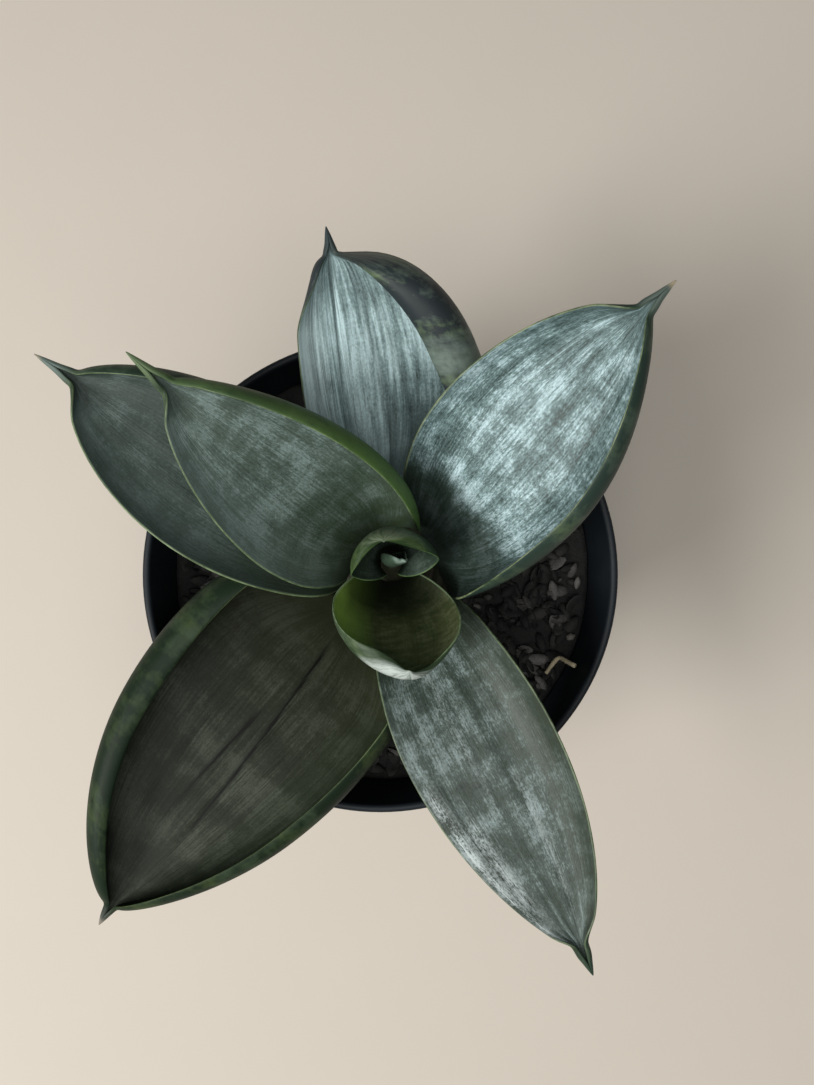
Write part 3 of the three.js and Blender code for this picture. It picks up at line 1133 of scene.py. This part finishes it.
@dataclass
class Pot:
    """The thin moulded nursery pot with a beaded rim and drain holes in its base."""

    base_radius: float = 50.0
    wall: float = 1.2
    floor: float = 2.4
    collar_height: float = 5.0
    collar_step: float = 1.0
    drain_count: int = 8
    drain_radius: float = 4.0
    drain_ring: float = 30.0
    drain_margin: float = 6.0
    corner: float = 1.2
    crisp_degrees: float = 35.0
    steps: int = 144
    corner_steps: int = 5
    finish: PotFinish = PotFinish()

    def outer_radius(self, height: float) -> float:
        """Gives the wall's outer radius at a height."""
        return blend(self.base_radius, RIM_RADIUS - self.collar_step, height / POT_HEIGHT)

    def profile(self) -> list[tuple[float, float]]:
        """Lists the section's points, from the base's centre round to the floor's centre."""
        collar = POT_HEIGHT - self.collar_height
        bead = (self.collar_step + self.wall) / 2
        inner, outer = self.drain_ring - self.drain_margin, self.drain_ring + self.drain_margin
        points = [(0.0, 0.0), (inner, 0.0), (outer, 0.0)]
        for index in range(self.corner_steps + 1):
            turn = -math.pi / 2 * (1 - index / self.corner_steps)
            radius = self.base_radius - self.corner + self.corner * math.cos(turn)
            points.append((radius, self.corner + self.corner * math.sin(turn)))
        for height in (20.0, 45.0, 70.0, 90.0, collar - 0.6):
            points.append((self.outer_radius(height), height))
        points += [(self.outer_radius(collar) + 0.25, collar - 0.15), (RIM_RADIUS - 0.35, collar)]
        points += [(RIM_RADIUS, collar + 0.4), (RIM_RADIUS, collar + 1.5)]
        for index in range(2 * self.corner_steps + 1):
            turn = math.pi * index / (2 * self.corner_steps)
            radius = RIM_RADIUS - bead + bead * math.cos(turn)
            points.append((radius, POT_HEIGHT - bead + bead * math.sin(turn)))
        for height in (100.0, 85.0, 60.0, 30.0, self.floor + 1.5):
            points.append((self.outer_radius(height) - self.wall, height))
        inside = self.outer_radius(self.floor) - self.wall
        points += [(inside - 0.5, self.floor + 0.4), (inside - 1.6, self.floor)]
        return points + [(outer, self.floor), (inner, self.floor), (0.0, self.floor)]

    def build(self) -> bpy.types.Object:
        """Spins the wall, cuts the drain holes and dresses the pot."""
        pot = finished_object("nursery_pot", spun_profile(self.profile(), self.steps), self.finish.build())
        drills = bmesh.new()
        for index in range(self.drain_count):
            turn = 2 * math.pi * index / self.drain_count
            place = (self.drain_ring * math.cos(turn), self.drain_ring * math.sin(turn), self.floor / 2)
            bmesh.ops.create_cone(
                drills, cap_ends=True, segments=32, radius1=self.drain_radius, radius2=self.drain_radius,
                depth=4 * self.floor, matrix=Matrix.Translation(place),
            )
        cutter = finished_object("drills", drills)
        cut = pot.modifiers.new("drains", "BOOLEAN")
        cut.object = cutter
        cut.solver = "EXACT"
        depsgraph = bpy.context.evaluated_depsgraph_get()
        mesh = bpy.data.meshes.new_from_object(pot.evaluated_get(depsgraph))
        pot.modifiers.clear()
        pot.data = mesh
        bpy.data.objects.remove(cutter)
        sharpen(pot, self.crisp_degrees)
        return pot


def sharpen(piece: bpy.types.Object, degrees: float) -> None:
    """Keeps edges sharper than an angle crisp under smooth shading.

    Args:
        piece: The object.
        degrees: The least angle of a crisp edge.
    """
    shape = bmesh.new()
    shape.from_mesh(piece.data)
    for edge in shape.edges:
        edge.smooth = not (len(edge.link_faces) == 2 and edge.calc_face_angle(0.0) > math.radians(degrees))
    shape.to_mesh(piece.data)
    shape.free()


@dataclass
class PottingMix:
    """The dark mix: a lumpy body, curved husk flakes and bark bits strewn over it."""

    edge_radius: float = 60.2
    bottom_radius: float = 48.6
    bottom: float = 2.7
    rings: int = 44
    steps: int = 150
    lump: float = 0.7
    body_tone: float = 0.22
    husks: int = 1050
    husk_half: Triple = (3.7, 1.75, 0.9)
    husk_sag: float = 0.5
    husk_thickness: float = 0.38
    crumbs: int = 420
    crumb_half: Triple = (1.55, 1.2, 0.95)
    keep_from_crown: float = 18.0
    keep_from_edge: float = 3.2
    wall_gap: float = 0.2
    wall_slope: float = 0.13
    least_size: float = 0.55
    size_spread: float = 0.6
    flipped_share: float = 0.35
    least_tone: float = 0.10
    tone_spread: float = 0.58
    tone_power: float = 2.4
    pale_tone: float = 0.74
    pale_lift: float = 0.3
    # The pale bits' x, y, heading in degrees and size.
    pale_husks: tuple[Bit, ...] = (
        (49.8, -5.1, 101.0, 0.78), (46.3, -32.0, 128.0, 0.7), (45.6, -25.3, 178.0, 0.95), (56.8, -2.9, 80.0, 0.5),
    )
    pale_bits: tuple[Bit, ...] = ((54.8, -18.6, 20.0, 0.95), (38.0, -40.5, 70.0, 0.6))
    seed: int = SEED

    def height(self, x: float, y: float) -> float:
        """Gives the mix's broad surface at a place."""
        broad = math.sin(x * 0.16 + 1) * math.cos(y * 0.13)
        fine = math.sin(x * 0.47 + y * 0.31) * math.cos(y * 0.53 - x * 0.2)
        return SOIL_LEVEL + self.lump * (broad + 0.6 * fine - 0.6)

    def body(self) -> bpy.types.Object:
        """Builds the closed body with a crumbly top."""
        profile = [(0.0, self.bottom), (self.bottom_radius, self.bottom)]
        for ring in range(self.rings, -1, -1):
            profile.append((self.edge_radius * ring / self.rings, SOIL_LEVEL))
        shape = spun_profile(profile, self.steps)
        for vertex in shape.verts:
            if vertex.co.z > self.bottom + 1:
                x, y = vertex.co.x, vertex.co.y
                coarse = noise.noise(Vector((x * 0.5, y * 0.5, 0.3)))
                crumb = coarse + 0.5 * noise.noise(Vector((x * 1.3, y * 1.3, 2)))
                inside = smoothstep((self.edge_radius - math.hypot(x, y)) / 2)
                vertex.co.z = self.height(x, y) + inside * (0.9 * crumb - 0.3)
        layer = shape.verts.layers.float.new(TONE)
        for vertex in shape.verts:
            vertex[layer] = self.body_tone
        finish = MixFinish("mix_body", middle=(0.018, 0.017, 0.016), light=(0.06, 0.055, 0.05), depth_mm=0.5)
        return finished_object("mix_body", shape, finish.build())

    def husk(self) -> Mesh:
        """Makes one curved husk, about six millimetres long."""
        husk = bmesh.new()
        bmesh.ops.create_grid(husk, x_segments=4, y_segments=2, size=1.0)
        length, width, rise = self.husk_half
        for vertex in husk.verts:
            x, y = vertex.co.x, vertex.co.y
            point = 1 - 0.75 * abs(x) ** 2.2
            arch = rise * (1 - y * y) * point - self.husk_sag * x * x
            vertex.co = Vector((length * x, width * y * point, arch))
        bmesh.ops.solidify(husk, geom=husk.faces[:], thickness=self.husk_thickness)
        bmesh.ops.recalc_face_normals(husk, faces=husk.faces[:])
        return husk

    def crumb(self) -> Mesh:
        """Makes one angular bit of bark, about three millimetres across."""
        crumb = bmesh.new()
        bmesh.ops.create_icosphere(crumb, subdivisions=1, radius=1.0)
        for vertex in crumb.verts:
            push = 1 + 0.35 * noise.noise(vertex.co * 1.7 + Vector((3, 1, 2)))
            vertex.co = Vector([half * part for half, part in zip(self.crumb_half, vertex.co)]) * push
        return crumb

    def clear(self, points: Iterable[Vector]) -> bool:
        """Tells whether a bit touches neither the rootstock nor the pot's wall.

        Args:
            points: The bit's corners where it would lie.

        Returns:
            Whether all of them are clear.
        """
        for point in points:
            wall = self.edge_radius - self.wall_gap - self.wall_slope * max(SOIL_LEVEL - point.z, 0.0)
            from_crown = math.hypot(point.x - CROWN_X, point.y - CROWN_Y)
            if from_crown <= self.keep_from_crown or math.hypot(point.x, point.y) >= wall:
                return False
        return True

    def strewn(
        self, name: str, template: Mesh, count: int, finish: MixFinish, lift: float, tilt: float, pale: Sequence[Bit]
    ) -> bpy.types.Object:
        """Strews copies of a bit over the mix.

        Args:
            name: The piece's name.
            template: The bit.
            count: How many are strewn.
            finish: Their finish.
            lift: The highest that a bit's middle stands above the mix.
            tilt: The greatest tilt in radians.
            pale: Places, headings and sizes of the pale bits that lie on top.

        Returns:
            The piece that holds all the bits.
        """
        draw = random.Random(f"{self.seed}{name}")
        heap = bmesh.new()
        heap.verts.layers.float.new(TONE)
        for _ in range(count):
            radius = (self.edge_radius - self.keep_from_edge) * math.sqrt(draw.random())
            turn = 2 * math.pi * draw.random()
            x, y = radius * math.cos(turn), radius * math.sin(turn)
            size = self.least_size + self.size_spread * draw.random()
            spin = Matrix.Rotation(2 * math.pi * draw.random(), 4, "Z")
            lean = Matrix.Rotation(tilt * (2 * draw.random() - 1), 4, "X")
            pitch = Matrix.Rotation(tilt * (2 * draw.random() - 1), 4, "Y")
            flip = Matrix.Rotation(math.pi * (draw.random() < self.flipped_share), 4, "X")
            rise = lift * draw.random()
            tone = self.least_tone + self.tone_spread * draw.random() ** self.tone_power
            place = Matrix.Translation((x, y, self.height(x, y) + rise))
            transform = place @ spin @ lean @ pitch @ flip @ Matrix.Scale(size, 4)
            if self.clear(transform @ vertex.co for vertex in template.verts):
                append_copy(heap, template, transform, tone)
        for x, y, heading, size in pale:
            place = Matrix.Translation((x, y, self.height(x, y) + lift + self.pale_lift))
            transform = place @ Matrix.Rotation(math.radians(heading), 4, "Z") @ Matrix.Scale(size, 4)
            append_copy(heap, template, transform, self.pale_tone)
        template.free()
        return finished_object(name, heap, finish.build())

    def build(self) -> list[bpy.types.Object]:
        """Builds the body and everything strewn over it."""
        husk_finish = MixFinish("charred_husk", light=(0.20, 0.195, 0.185), grain_scale=1400.0, depth_mm=0.12)
        bark_finish = MixFinish("bark_bits", light=(0.20, 0.19, 0.17), grain_scale=700.0, depth_mm=0.3)
        return [
            self.body(),
            self.strewn("husk_flakes", self.husk(), self.husks, husk_finish, 1.5, 0.75, self.pale_husks),
            self.strewn("bark_bits", self.crumb(), self.crumbs, bark_finish, 1.1, 1.2, self.pale_bits),
        ]


@dataclass
class Rootstock:
    """The short stem that the leaves grow from, stepped by their scars."""

    steps: int = 96
    wrinkle: float = 0.22
    shrink: float = 0.12
    finish: RootstockFinish = RootstockFinish()

    def build(self) -> bpy.types.Object:
        """Spins the stepped cone and roughens it."""
        profile = [
            (0.0, -15.0), (15.0, -15.0), (19.3, -5.0), (19.2, -0.8), (18.6, 0.3), (16.0, 0.55), (15.7, 1.4),
            (14.6, 1.65), (12.9, 1.75), (12.65, 4.5), (12.3, 7.6), (11.7, 7.85), (10.8, 7.95), (10.6, 8.15),
            (8.1, 8.3), (7.9, 9.1), (4.6, 9.4), (4.4, 10.3), (2.3, 10.6), (2.1, 11.3), (0.0, 11.6),
        ]
        shape = spun_profile(profile, self.steps)
        shape.normal_update()
        depths = [self.wrinkle * noise.noise(vertex.co * 0.45) - self.shrink for vertex in shape.verts]
        for vertex, depth in zip(shape.verts, depths):
            vertex.co += vertex.normal * depth
        bmesh.ops.translate(shape, vec=(CROWN_X, CROWN_Y, SOIL_LEVEL), verts=shape.verts[:])
        return finished_object("rootstock", shape, self.finish.build())


@dataclass
class Straw:
    """A bent bit of straw that stands clear of the mix, near the pot's wall."""

    radius: float = 0.68
    sides: int = 12
    # Each point's x, y and height above the mix.
    points: tuple[Triple, ...] = (
        (47.4, -28.9, 3.0), (48.3, -27.5, 3.25), (49.4, -25.8, 3.7), (50.3, -24.6, 4.2), (50.9, -24.15, 4.7),
        (51.6, -24.35, 5.4), (52.6, -24.95, 6.5), (53.6, -25.45, 7.7), (54.55, -25.9, 8.95),
    )
    finish: DryStemFinish = DryStemFinish()

    def build(self) -> bpy.types.Object:
        """Lofts the straw through its points by extruding a ring."""
        shape = bmesh.new()
        path = [Vector(point) for point in self.points]
        ring = bmesh.ops.create_circle(shape, cap_ends=True, segments=self.sides, radius=self.radius)["verts"]
        home = [vertex.co.copy() for vertex in ring]
        for index, point in enumerate(path):
            ahead = path[min(index + 1, len(path) - 1)] - path[max(index - 1, 0)]
            turn = ahead.to_track_quat("Z", "Y")
            size = 1.0 - 0.35 * abs(noise.noise(Vector((index * 0.9, 0.4, 1.7))))
            if index:
                caps = [face for face in shape.faces if set(face.verts) == set(ring)]
                made = bmesh.ops.extrude_discrete_faces(shape, faces=caps)["faces"]
                ring = list(made[0].verts)
            for vertex, start in zip(ring, home):
                vertex.co = point + turn @ (start * size)
        bmesh.ops.translate(shape, vec=(0, 0, SOIL_LEVEL), verts=shape.verts[:])
        bmesh.ops.recalc_face_normals(shape, faces=shape.faces[:])
        return finished_object("bent_straw", shape, self.finish.build())


# ---- studio ----


@dataclass
class Studio:
    """Plain floor, soft light from the left and the camera above the plant."""

    floor_half: float = 3.0
    floor_drop: float = 0.2
    lamp_colour: Colour = (1.0, 0.985, 0.96)
    key_power: float = 12.8
    key_size: float = 0.55
    key_place: Triple = (-0.79, -0.35, 0.96)
    fill_power: float = 6.2
    fill_size: float = 0.8
    fill_place: Triple = (0.03, -0.28, 1.27)
    world_colour: Colour = (0.93, 0.97, 1.0)
    world_strength: float = 0.10
    clip_start: float = 0.01
    finish: FloorFinish = FloorFinish()

    def floor(self) -> None:
        """Lays the floor just under the pot."""
        shape = bmesh.new()
        bmesh.ops.create_grid(shape, x_segments=1, y_segments=1, size=self.floor_half / MM)
        bmesh.ops.translate(shape, vec=(0, 0, -self.floor_drop), verts=shape.verts[:])
        floor = finished_object("floor", shape, self.finish.build())

    def lamp(self, name: str, place: Triple, power: float, size: float) -> None:
        """Hangs one square soft light aimed at the plant.

        Args:
            name: The light's name.
            place: Where it hangs.
            power: Its power in watts.
            size: The length of its side.
        """
        data = bpy.data.lights.new(name, "AREA")
        data.energy = power
        data.size = size
        data.color = self.lamp_colour
        light = bpy.data.objects.new(name, data)
        light.location = place
        aim = Vector((0, 0, POT_HEIGHT * MM)) - Vector(place)
        light.rotation_euler = aim.to_track_quat("-Z", "Y").to_euler()
        bpy.context.collection.objects.link(light)

    def light(self) -> None:
        """Sets up the two soft lights and the even light around them."""
        self.lamp("window", self.key_place, self.key_power, self.key_size)
        self.lamp("fill", self.fill_place, self.fill_power, self.fill_size)
        world = bpy.data.worlds.new("studio")
        world.use_nodes = True
        background = world.node_tree.nodes["Background"]
        background.inputs["Color"].default_value = (*self.world_colour, 1.0)
        background.inputs["Strength"].default_value = self.world_strength
        bpy.context.scene.world = world
        bpy.context.scene.view_settings.view_transform = "Standard"

    def camera(self) -> None:
        """Puts the camera above the plant, looking straight down as in the photograph."""
        lens = bpy.data.cameras.new("camera")
        lens.sensor_width = SENSOR_MM
        lens.lens = SENSOR_MM * FOCAL_PX / PHOTO_HEIGHT_PX
        lens.clip_start = self.clip_start
        eye = bpy.data.objects.new("camera", lens)
        eye.location = (CAMERA_X * MM, CAMERA_Y * MM, (POT_HEIGHT + CAMERA_ABOVE_RIM) * MM)
        bpy.context.collection.objects.link(eye)
        bpy.context.scene.camera = eye


# ---- the plant's own leaves ----


def broad_leaves() -> list[Leaf]:
    """Lists the six broad leaves that spread outwards."""
    return [
        Leaf(
            LeafShape(
                "blade_south_west", "leaf_south_west", azimuth=231, base_radius=18, base_height=2, tip_turn=0,
                reach=120.5, tip_height=26, lean_base=31, lean_tip=8, heading_turn=9, left_width=43.2,
                right_width=53, base_fraction=0.22, widest=0.25, left_curl=168, right_curl=220, roll_base=2,
                open_by=0.53, flatness=3.1, tip_fullness=0.6, tip_reach=0.3, mucro=6, clasp=0.9, pleats=0.12,
                half_columns=40,
                # The creases' dark lines are painted shade in the grooves.
                creases=(
                    Crease(-0.02, 0.34, 0.72, 0.4, 0.032, -0.04, 1.0),
                    Crease(0.02, 0.1, 0.8, 0.6, 0.034, 0.17, 1.0),
                    Crease(-0.2, 0.3, 0.62, 0.2, 0.03, -0.04, 0.3),
                    Crease(0.36, 0.3, 0.72, 0.2, 0.03, 0.02, 0.3),
                    Crease(-0.08, 0.62, 0.86, 0.2, 0.03, 0.04, 0.3),
                ),
            ),
            LeafFinish(
                "leaf_south_west", ground=(0.012, 0.0155, 0.0085), middle=(0.0265, 0.033, 0.0215),
                silver=(0.068, 0.078, 0.058), bloom=0.46, streaks=1.5, dashes=1.5, speckle=1.6, blotches=2.2,
                # Painted light: the left margin is lightened where its own roll shades it.
                bands=3.6, left_light_and_shade=(0.055, 0.080, 0.045), left_light_and_shade_share=0.6,
                base_tint=(0.0192, 0.0224, 0.0088), under=(0.010, 0.021, 0.010),
                under_pale=(0.034, 0.056, 0.030), under_warm=(0.048, 0.072, 0.020), under_patches=0.26,
                under_bands=5.0, under_warmth=0.7, tip_tint=(0.10, 0.11, 0.09), under_tip=(0.10, 0.11, 0.095),
                under_tip_from=0.94, dry_end=0.9, dry=(0.30, 0.27, 0.22), margin=(0.12, 0.16, 0.06), gloss=0.16,
                seed=1.0,
            ),
        ),
        Leaf(
            LeafShape(
                "blade_south_east", "leaf_south_east", azimuth=292, base_radius=14.2, base_height=9,
                tip_turn=4.5, reach=110.5, tip_height=41, lean_base=71, lean_tip=12, heading_turn=0,
                left_width=22, right_width=19, base_fraction=0.4, widest=0.45, left_curl=80, right_curl=10,
                clasp=0.9, flatness=2, tip_fullness=0.74, mucro=6, tip_curl_from=0.92, pleats=0.16,
                creases=(
                    Crease(0.08, 0.1, 0.9, -0.2, 0.1), Crease(-0.8, 0.35, 0.92, -0.25, 0.14),
                    # Below 0 these paint highlight streaks where the leaf's sheen reflects the lamp.
                    Crease(-0.66, 0.55, 0.92, 0.0, 0.26, 0.0, -0.7),
                    Crease(-0.88, 0.45, 0.97, 0.0, 0.16, 0.0, -0.85),
                    Crease(-0.2, 0.15, 0.6, 0.0, 0.1, 0.0, -0.25), Crease(0.2, 0.5, 0.95, 0.0, 0.12, 0.0, -0.3),
                ),
            ),
            LeafFinish(
                "leaf_south_east", ground=(0.020, 0.031, 0.022), middle=(0.0632, 0.0874, 0.0744),
                silver=(0.27, 0.345, 0.34), bloom=0.46, dashes=0.9, speckle=1.5, blotches=2.8, bands=2.0,
                # Painted shade: the left margin is darkened where it faces away from the lamps.
                tip_fade=0.25, tip_fade_from=0.75, left_light_and_shade=(0.0465, 0.0577, 0.0391), left_light_and_shade_share=0.7,
                base_tint=(0.0465, 0.0698, 0.0326), base_reach=0.1, tip_tint=(0.035, 0.06, 0.045),
                under_tip=(0.03, 0.055, 0.035), under=(0.018, 0.036, 0.018), margin=(0.20, 0.26, 0.14),
                roughness=0.38, seed=2.0,
            ),
        ),
        Leaf(
            LeafShape(
                "blade_west_outer", "leaf_west_outer", azimuth=160, base_radius=13.8, base_height=9,
                tip_turn=-11, reach=97.5, tip_height=46, lean_base=69, lean_tip=20, heading_turn=-12,
                left_width=24.6, right_width=31, base_fraction=0.38, widest=0.44, left_curl=62, right_curl=165,
                roll_base=11, open_by=0.6, tip_fullness=0.6, mucro=10, tip_curl_from=0.93, pleats=0.1,
            ),
            LeafFinish(
                "leaf_west_outer", ground=(0.0239, 0.0368, 0.0276), middle=(0.0515, 0.0736, 0.0635),
                silver=(0.147, 0.193, 0.184), bloom=0.45, streaks=0.5, dashes=0.8, speckle=1.4, blotches=2.0,
                # Painted light: the face is lightened near the left margin, which lies in shade.
                bands=1.4, left_fade=-0.15, left_light_and_shade=(0.16, 0.215, 0.19), left_light_and_shade_share=0.4,
                tip_tint=(0.12, 0.16, 0.14), tip_from=0.90, under_tip=(0.13, 0.175, 0.155), under_tip_from=0.89,
                dry_end=0.6, margin=(0.24, 0.32, 0.17), margin_dark=(0.08, 0.12, 0.05), seed=3.0,
            ),
        ),
        Leaf(
            LeafShape(
                "blade_north", "leaf_north", azimuth=107, base_radius=14, base_height=3, tip_turn=-6.5,
                reach=82.5, tip_height=44, lean_base=44, lean_tip=32, heading_turn=-6, left_width=14,
                right_width=55.8, base_fraction=0.22, widest=0.53, left_curl=62, right_curl=248, roll_base=10,
                clasp=0.5, open_by=0.65, flatness=2.6, tip_flatness=1.6, tip_fullness=0.25, mucro=7,
                tip_curl_from=0.76, pleats=0.3, pleat_count=6, half_columns=36,
                # The creases' dark lines are painted shade in the grooves.
                creases=(
                    Crease(-0.2, 0.1, 0.95, 0.7, 0.045, 0.12, 0.35),
                    Crease(-0.34, 0.1, 0.9, 0.6, 0.045, 0.18, 0.3),
                    Crease(0.3, 0.2, 0.95, 0.5, 0.08, -0.25, 0.25),
                ),
            ),
            LeafFinish(
                "leaf_north", ground=(0.0597, 0.0864, 0.084), middle=(0.237, 0.343, 0.349),
                silver=(0.631, 0.823, 0.848), streaks=3.8, dashes=1.6, speckle=1.2, blotches=1.4, bands=1.2,
                tip_fade=0.3, tip_fade_from=0.72, right_fade=0.15, tip_tint=(0.0602, 0.086, 0.0817),
                # Painted light: the colour is lightened towards the crown, where the inner west leaf shades it.
                tip_from=0.92, base_tint=(0.439, 0.588, 0.599), under=(0.024, 0.033, 0.036),
                under_pale=(0.15, 0.20, 0.17), under_warm=(0.16, 0.24, 0.10), under_patches=0.36,
                under_bands=3.6, under_warmth=0.8,
                under_marks=((0.62, 0.08, 0.34), (0.4, 0.05, 0.3), (0.84, 0.09, -0.12), (0.51, 0.05, -0.22)),
                under_tip=(0.030, 0.045, 0.047), under_tip_from=0.90, margin=(0.12, 0.17, 0.09), seed=4.0,
                # Painted light: the face is lightened along the left margin, which lies in shadow.
                left_fade=-0.7, left_light_and_shade=(0.78, 0.88, 0.88), left_light_and_shade_share=0.34,
            ),
        ),
        Leaf(
            LeafShape(
                "blade_north_east", "leaf_north_east", azimuth=28, base_radius=12.3, base_height=9, tip_turn=17,
                reach=87, tip_height=65, lean_base=73, lean_tip=20, heading_turn=15, left_width=24.5,
                right_width=33.4, base_fraction=0.25, widest=0.5, left_curl=75, right_curl=150, roll_base=3,
                flatness=2.5, tip_fullness=0.68, tip_curl_from=0.92,
            ),
            LeafFinish(
                "leaf_north_east", ground=(0.04, 0.064, 0.058), middle=(0.165, 0.25, 0.252),
                silver=(0.563, 0.734, 0.772), bloom=0.49, streaks=1.8, dashes=1.3, speckle=2.0, blotches=3.2,
                # Painted shadow: darkened towards the crown, where the inner leaves cast their shadow.
                bands=2.4, base_tint=(0.015, 0.025, 0.016), base_reach=0.25, base_hold=0.88, base_fade=0.34,
                tip_fade=0.35, tip_fade_from=0.62, left_fade=0.15, right_fade=0.2, tip_tint=(0.10, 0.135, 0.12),
                tip_from=0.91, dry_end=1.0, under=(0.020, 0.040, 0.030), under_pale=(0.07, 0.105, 0.08),
                under_patches=0.36, under_tip=(0.09, 0.12, 0.105), under_tip_from=0.90,
                margin=(0.28, 0.33, 0.17), seed=5.0,
            ),
        ),
        Leaf(
            LeafShape(
                "blade_west_inner", "leaf_west_inner", azimuth=130, base_radius=9.5, base_height=10,
                tip_turn=10, reach=71, tip_height=68, lean_base=74, lean_tip=24, heading_turn=10,
                left_width=23.6, right_width=29, base_fraction=0.27, widest=0.34, left_curl=60, right_curl=148,
                roll_base=1, clasp=0.9, tip_fullness=0.65, mucro=10, tip_curl_from=0.93, pleats=0.12,
            ),
            LeafFinish(
                "leaf_west_inner", ground=(0.0378, 0.0562, 0.041), middle=(0.0864, 0.125, 0.106),
                silver=(0.238, 0.313, 0.297), bloom=0.46, streaks=1.0, dashes=1.1, speckle=1.6, blotches=2.8,
                # Painted light: the face is lightened near the left margin, which lies in shade.
                bands=2.2, left_fade=-0.25, left_light_and_shade=(0.24, 0.32, 0.29), left_light_and_shade_share=0.42, tip_fade=-0.1,
                base_tint=(0.036, 0.058, 0.020), base_reach=0.22, tip_tint=(0.10, 0.15, 0.085), tip_from=0.90,
                under=(0.024, 0.046, 0.024), under_pale=(0.07, 0.11, 0.06), under_warm=(0.09, 0.15, 0.045),
                # Painted light: the rolled right margin glows bright green where light shines through it.
                under_right_glow=(0.085, 0.165, 0.036), under_tip=(0.11, 0.165, 0.08), under_tip_from=0.89,
                margin=(0.22, 0.30, 0.15), seed=6.0,
            ),
        ),
    ]


def young_leaves() -> list[Leaf]:
    """Lists the three small leaves rolled round each other in the centre."""
    young = LeafFinish(
        "young_leaf", ground=(0.040, 0.052, 0.022), middle=(0.075, 0.090, 0.046), silver=(0.14, 0.155, 0.10),
        bloom=0.44, streaks=0.4, dashes=0.5, speckle=0.5, blotches=1.2, bands=2.2,
        # Painted shade: nearly black towards the crown, in the shaded centre of the plant.
        base_tint=(0.004, 0.008, 0.004), base_reach=0.30, tip_tint=(0.22, 0.28, 0.20), tip_from=0.965,
        under=(0.035, 0.062, 0.028), under_pale=(0.12, 0.16, 0.10), under_tip=(0.50, 0.56, 0.52),
        under_tip_from=0.80, under_tip_breaks=0.75, margin=(0.30, 0.40, 0.24), margin_dark=(0.08, 0.14, 0.05),
        roughness=0.38,
    )
    return [
        Leaf(
            LeafShape(
                "blade_cup", "leaf_cup", azimuth=266, base_radius=6, base_height=11, tip_turn=16, reach=24,
                tip_height=52, lean_base=74, lean_tip=148, heading_turn=-12, left_width=18.9, right_width=20,
                base_fraction=0.31, widest=0.58, left_curl=66, right_curl=82, clasp=1, flatness=1.5,
                tip_fullness=0.52, tip_curl=0, tip_curl_from=0.9, tip_reach=0.22, mucro=1, mucro_width=1.3,
                pleats=0.05,
            ),
            replace(
                young, name="leaf_cup", ground=(0.036, 0.050, 0.017), middle=(0.082, 0.102, 0.042),
                silver=(0.19, 0.21, 0.115), crosslines=1.6, base_reach=0.31, base_hold=0.8, base_fade=0.6,
                right_tint=(0.40, 0.64, 0.12), right_tint_share=1.0, under_tip_spread=0.75, seed=7.0,
            ),
        ),
        Leaf(
            LeafShape(
                "blade_heart", "leaf_heart", azimuth=100, base_radius=3.4, base_height=12, tip_turn=0, reach=6,
                tip_height=50, lean_base=82, lean_tip=150, heading_turn=-10, left_width=15, right_width=16,
                base_fraction=0.36, widest=0.62, left_curl=85, right_curl=75, clasp=1, open_by=0.6, flatness=1,
                tip_fullness=0.4, tip_curl=0, tip_curl_from=0.9, tip_reach=0.22, mucro=1, mucro_width=1.0,
                thickness=1.6, pleats=0.03, rows=72, half_columns=20,
            ),
            replace(
                young, name="leaf_heart", ground=(0.012, 0.022, 0.010), middle=(0.04, 0.065, 0.045),
                silver=(0.22, 0.29, 0.25), bloom=0.42, base_reach=0.42, under=(0.018, 0.040, 0.012),
                under_pale=(0.06, 0.10, 0.04), under_tip=(0.12, 0.15, 0.095), under_tip_spread=0.6,
                margin=(0.16, 0.26, 0.10), margin_dark=(0.05, 0.11, 0.03), seed=8.0,
            ),
        ),
        Leaf(
            LeafShape(
                "blade_spike", "leaf_spike", azimuth=275, base_radius=0.6, base_height=13, tip_turn=103,
                reach=4.2, tip_height=45, lean_base=89, lean_tip=75, heading_turn=103, left_width=5,
                right_width=5, base_fraction=0.4, widest=0.5, left_curl=100, right_curl=100, clasp=1,
                flatness=1, tip_fullness=1, tip_curl=110, mucro=1, mucro_width=1.2, thickness=1, pleats=0.0,
                rows=60, half_columns=14,
            ),
            replace(
                young, name="leaf_spike", ground=(0.05, 0.085, 0.06), middle=(0.09, 0.14, 0.11),
                silver=(0.2, 0.28, 0.24), under=(0.05, 0.085, 0.055), under_pale=(0.12, 0.18, 0.14),
                under_tip=(0.22, 0.30, 0.25), margin=(0.3, 0.4, 0.32), seed=9.0,
            ),
        ),
    ]


SLOT_OF_NODE = dict.fromkeys(("leaf_cup", "leaf_heart", "leaf_spike"), "young_leaf")


def attach(piece: bpy.types.Object, slot: str, *nodes: str) -> None:
    """Parents a piece to the plant's body, hides the CAD nodes that it stands for and logs its material slot.

    Args:
        piece: The piece.
        slot: The material slot, which is only logged.
        nodes: The CAD nodes that it stands for.
    """
    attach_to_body(piece, BODY)
    if nodes:
        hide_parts(*nodes)
    LOG.info("%s: %d faces, slot %s", piece.name, len(piece.data.polygons), slot)


def main() -> None:
    """Builds every sub-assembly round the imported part."""
    logging.basicConfig(level=logging.INFO, format="%(message)s")
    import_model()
    studio = Studio()
    studio.camera()
    studio.floor()
    studio.light()
    attach(Pot().build(), "pot_plastic", "pot")
    body, husks, crumbs = PottingMix().build()
    attach(body, "mix", "potting_mix")
    attach(husks, "mix")
    attach(crumbs, "mix")
    attach(Rootstock().build(), "rootstock", "crown")
    attach(Straw().build(), "straw", "straw_bit")
    for leaf in broad_leaves() + young_leaves():
        node = leaf.shape.node
        attach(leaf.build(), SLOT_OF_NODE.get(node, "leaf"), node)


if __name__ == "__main__":
    main()
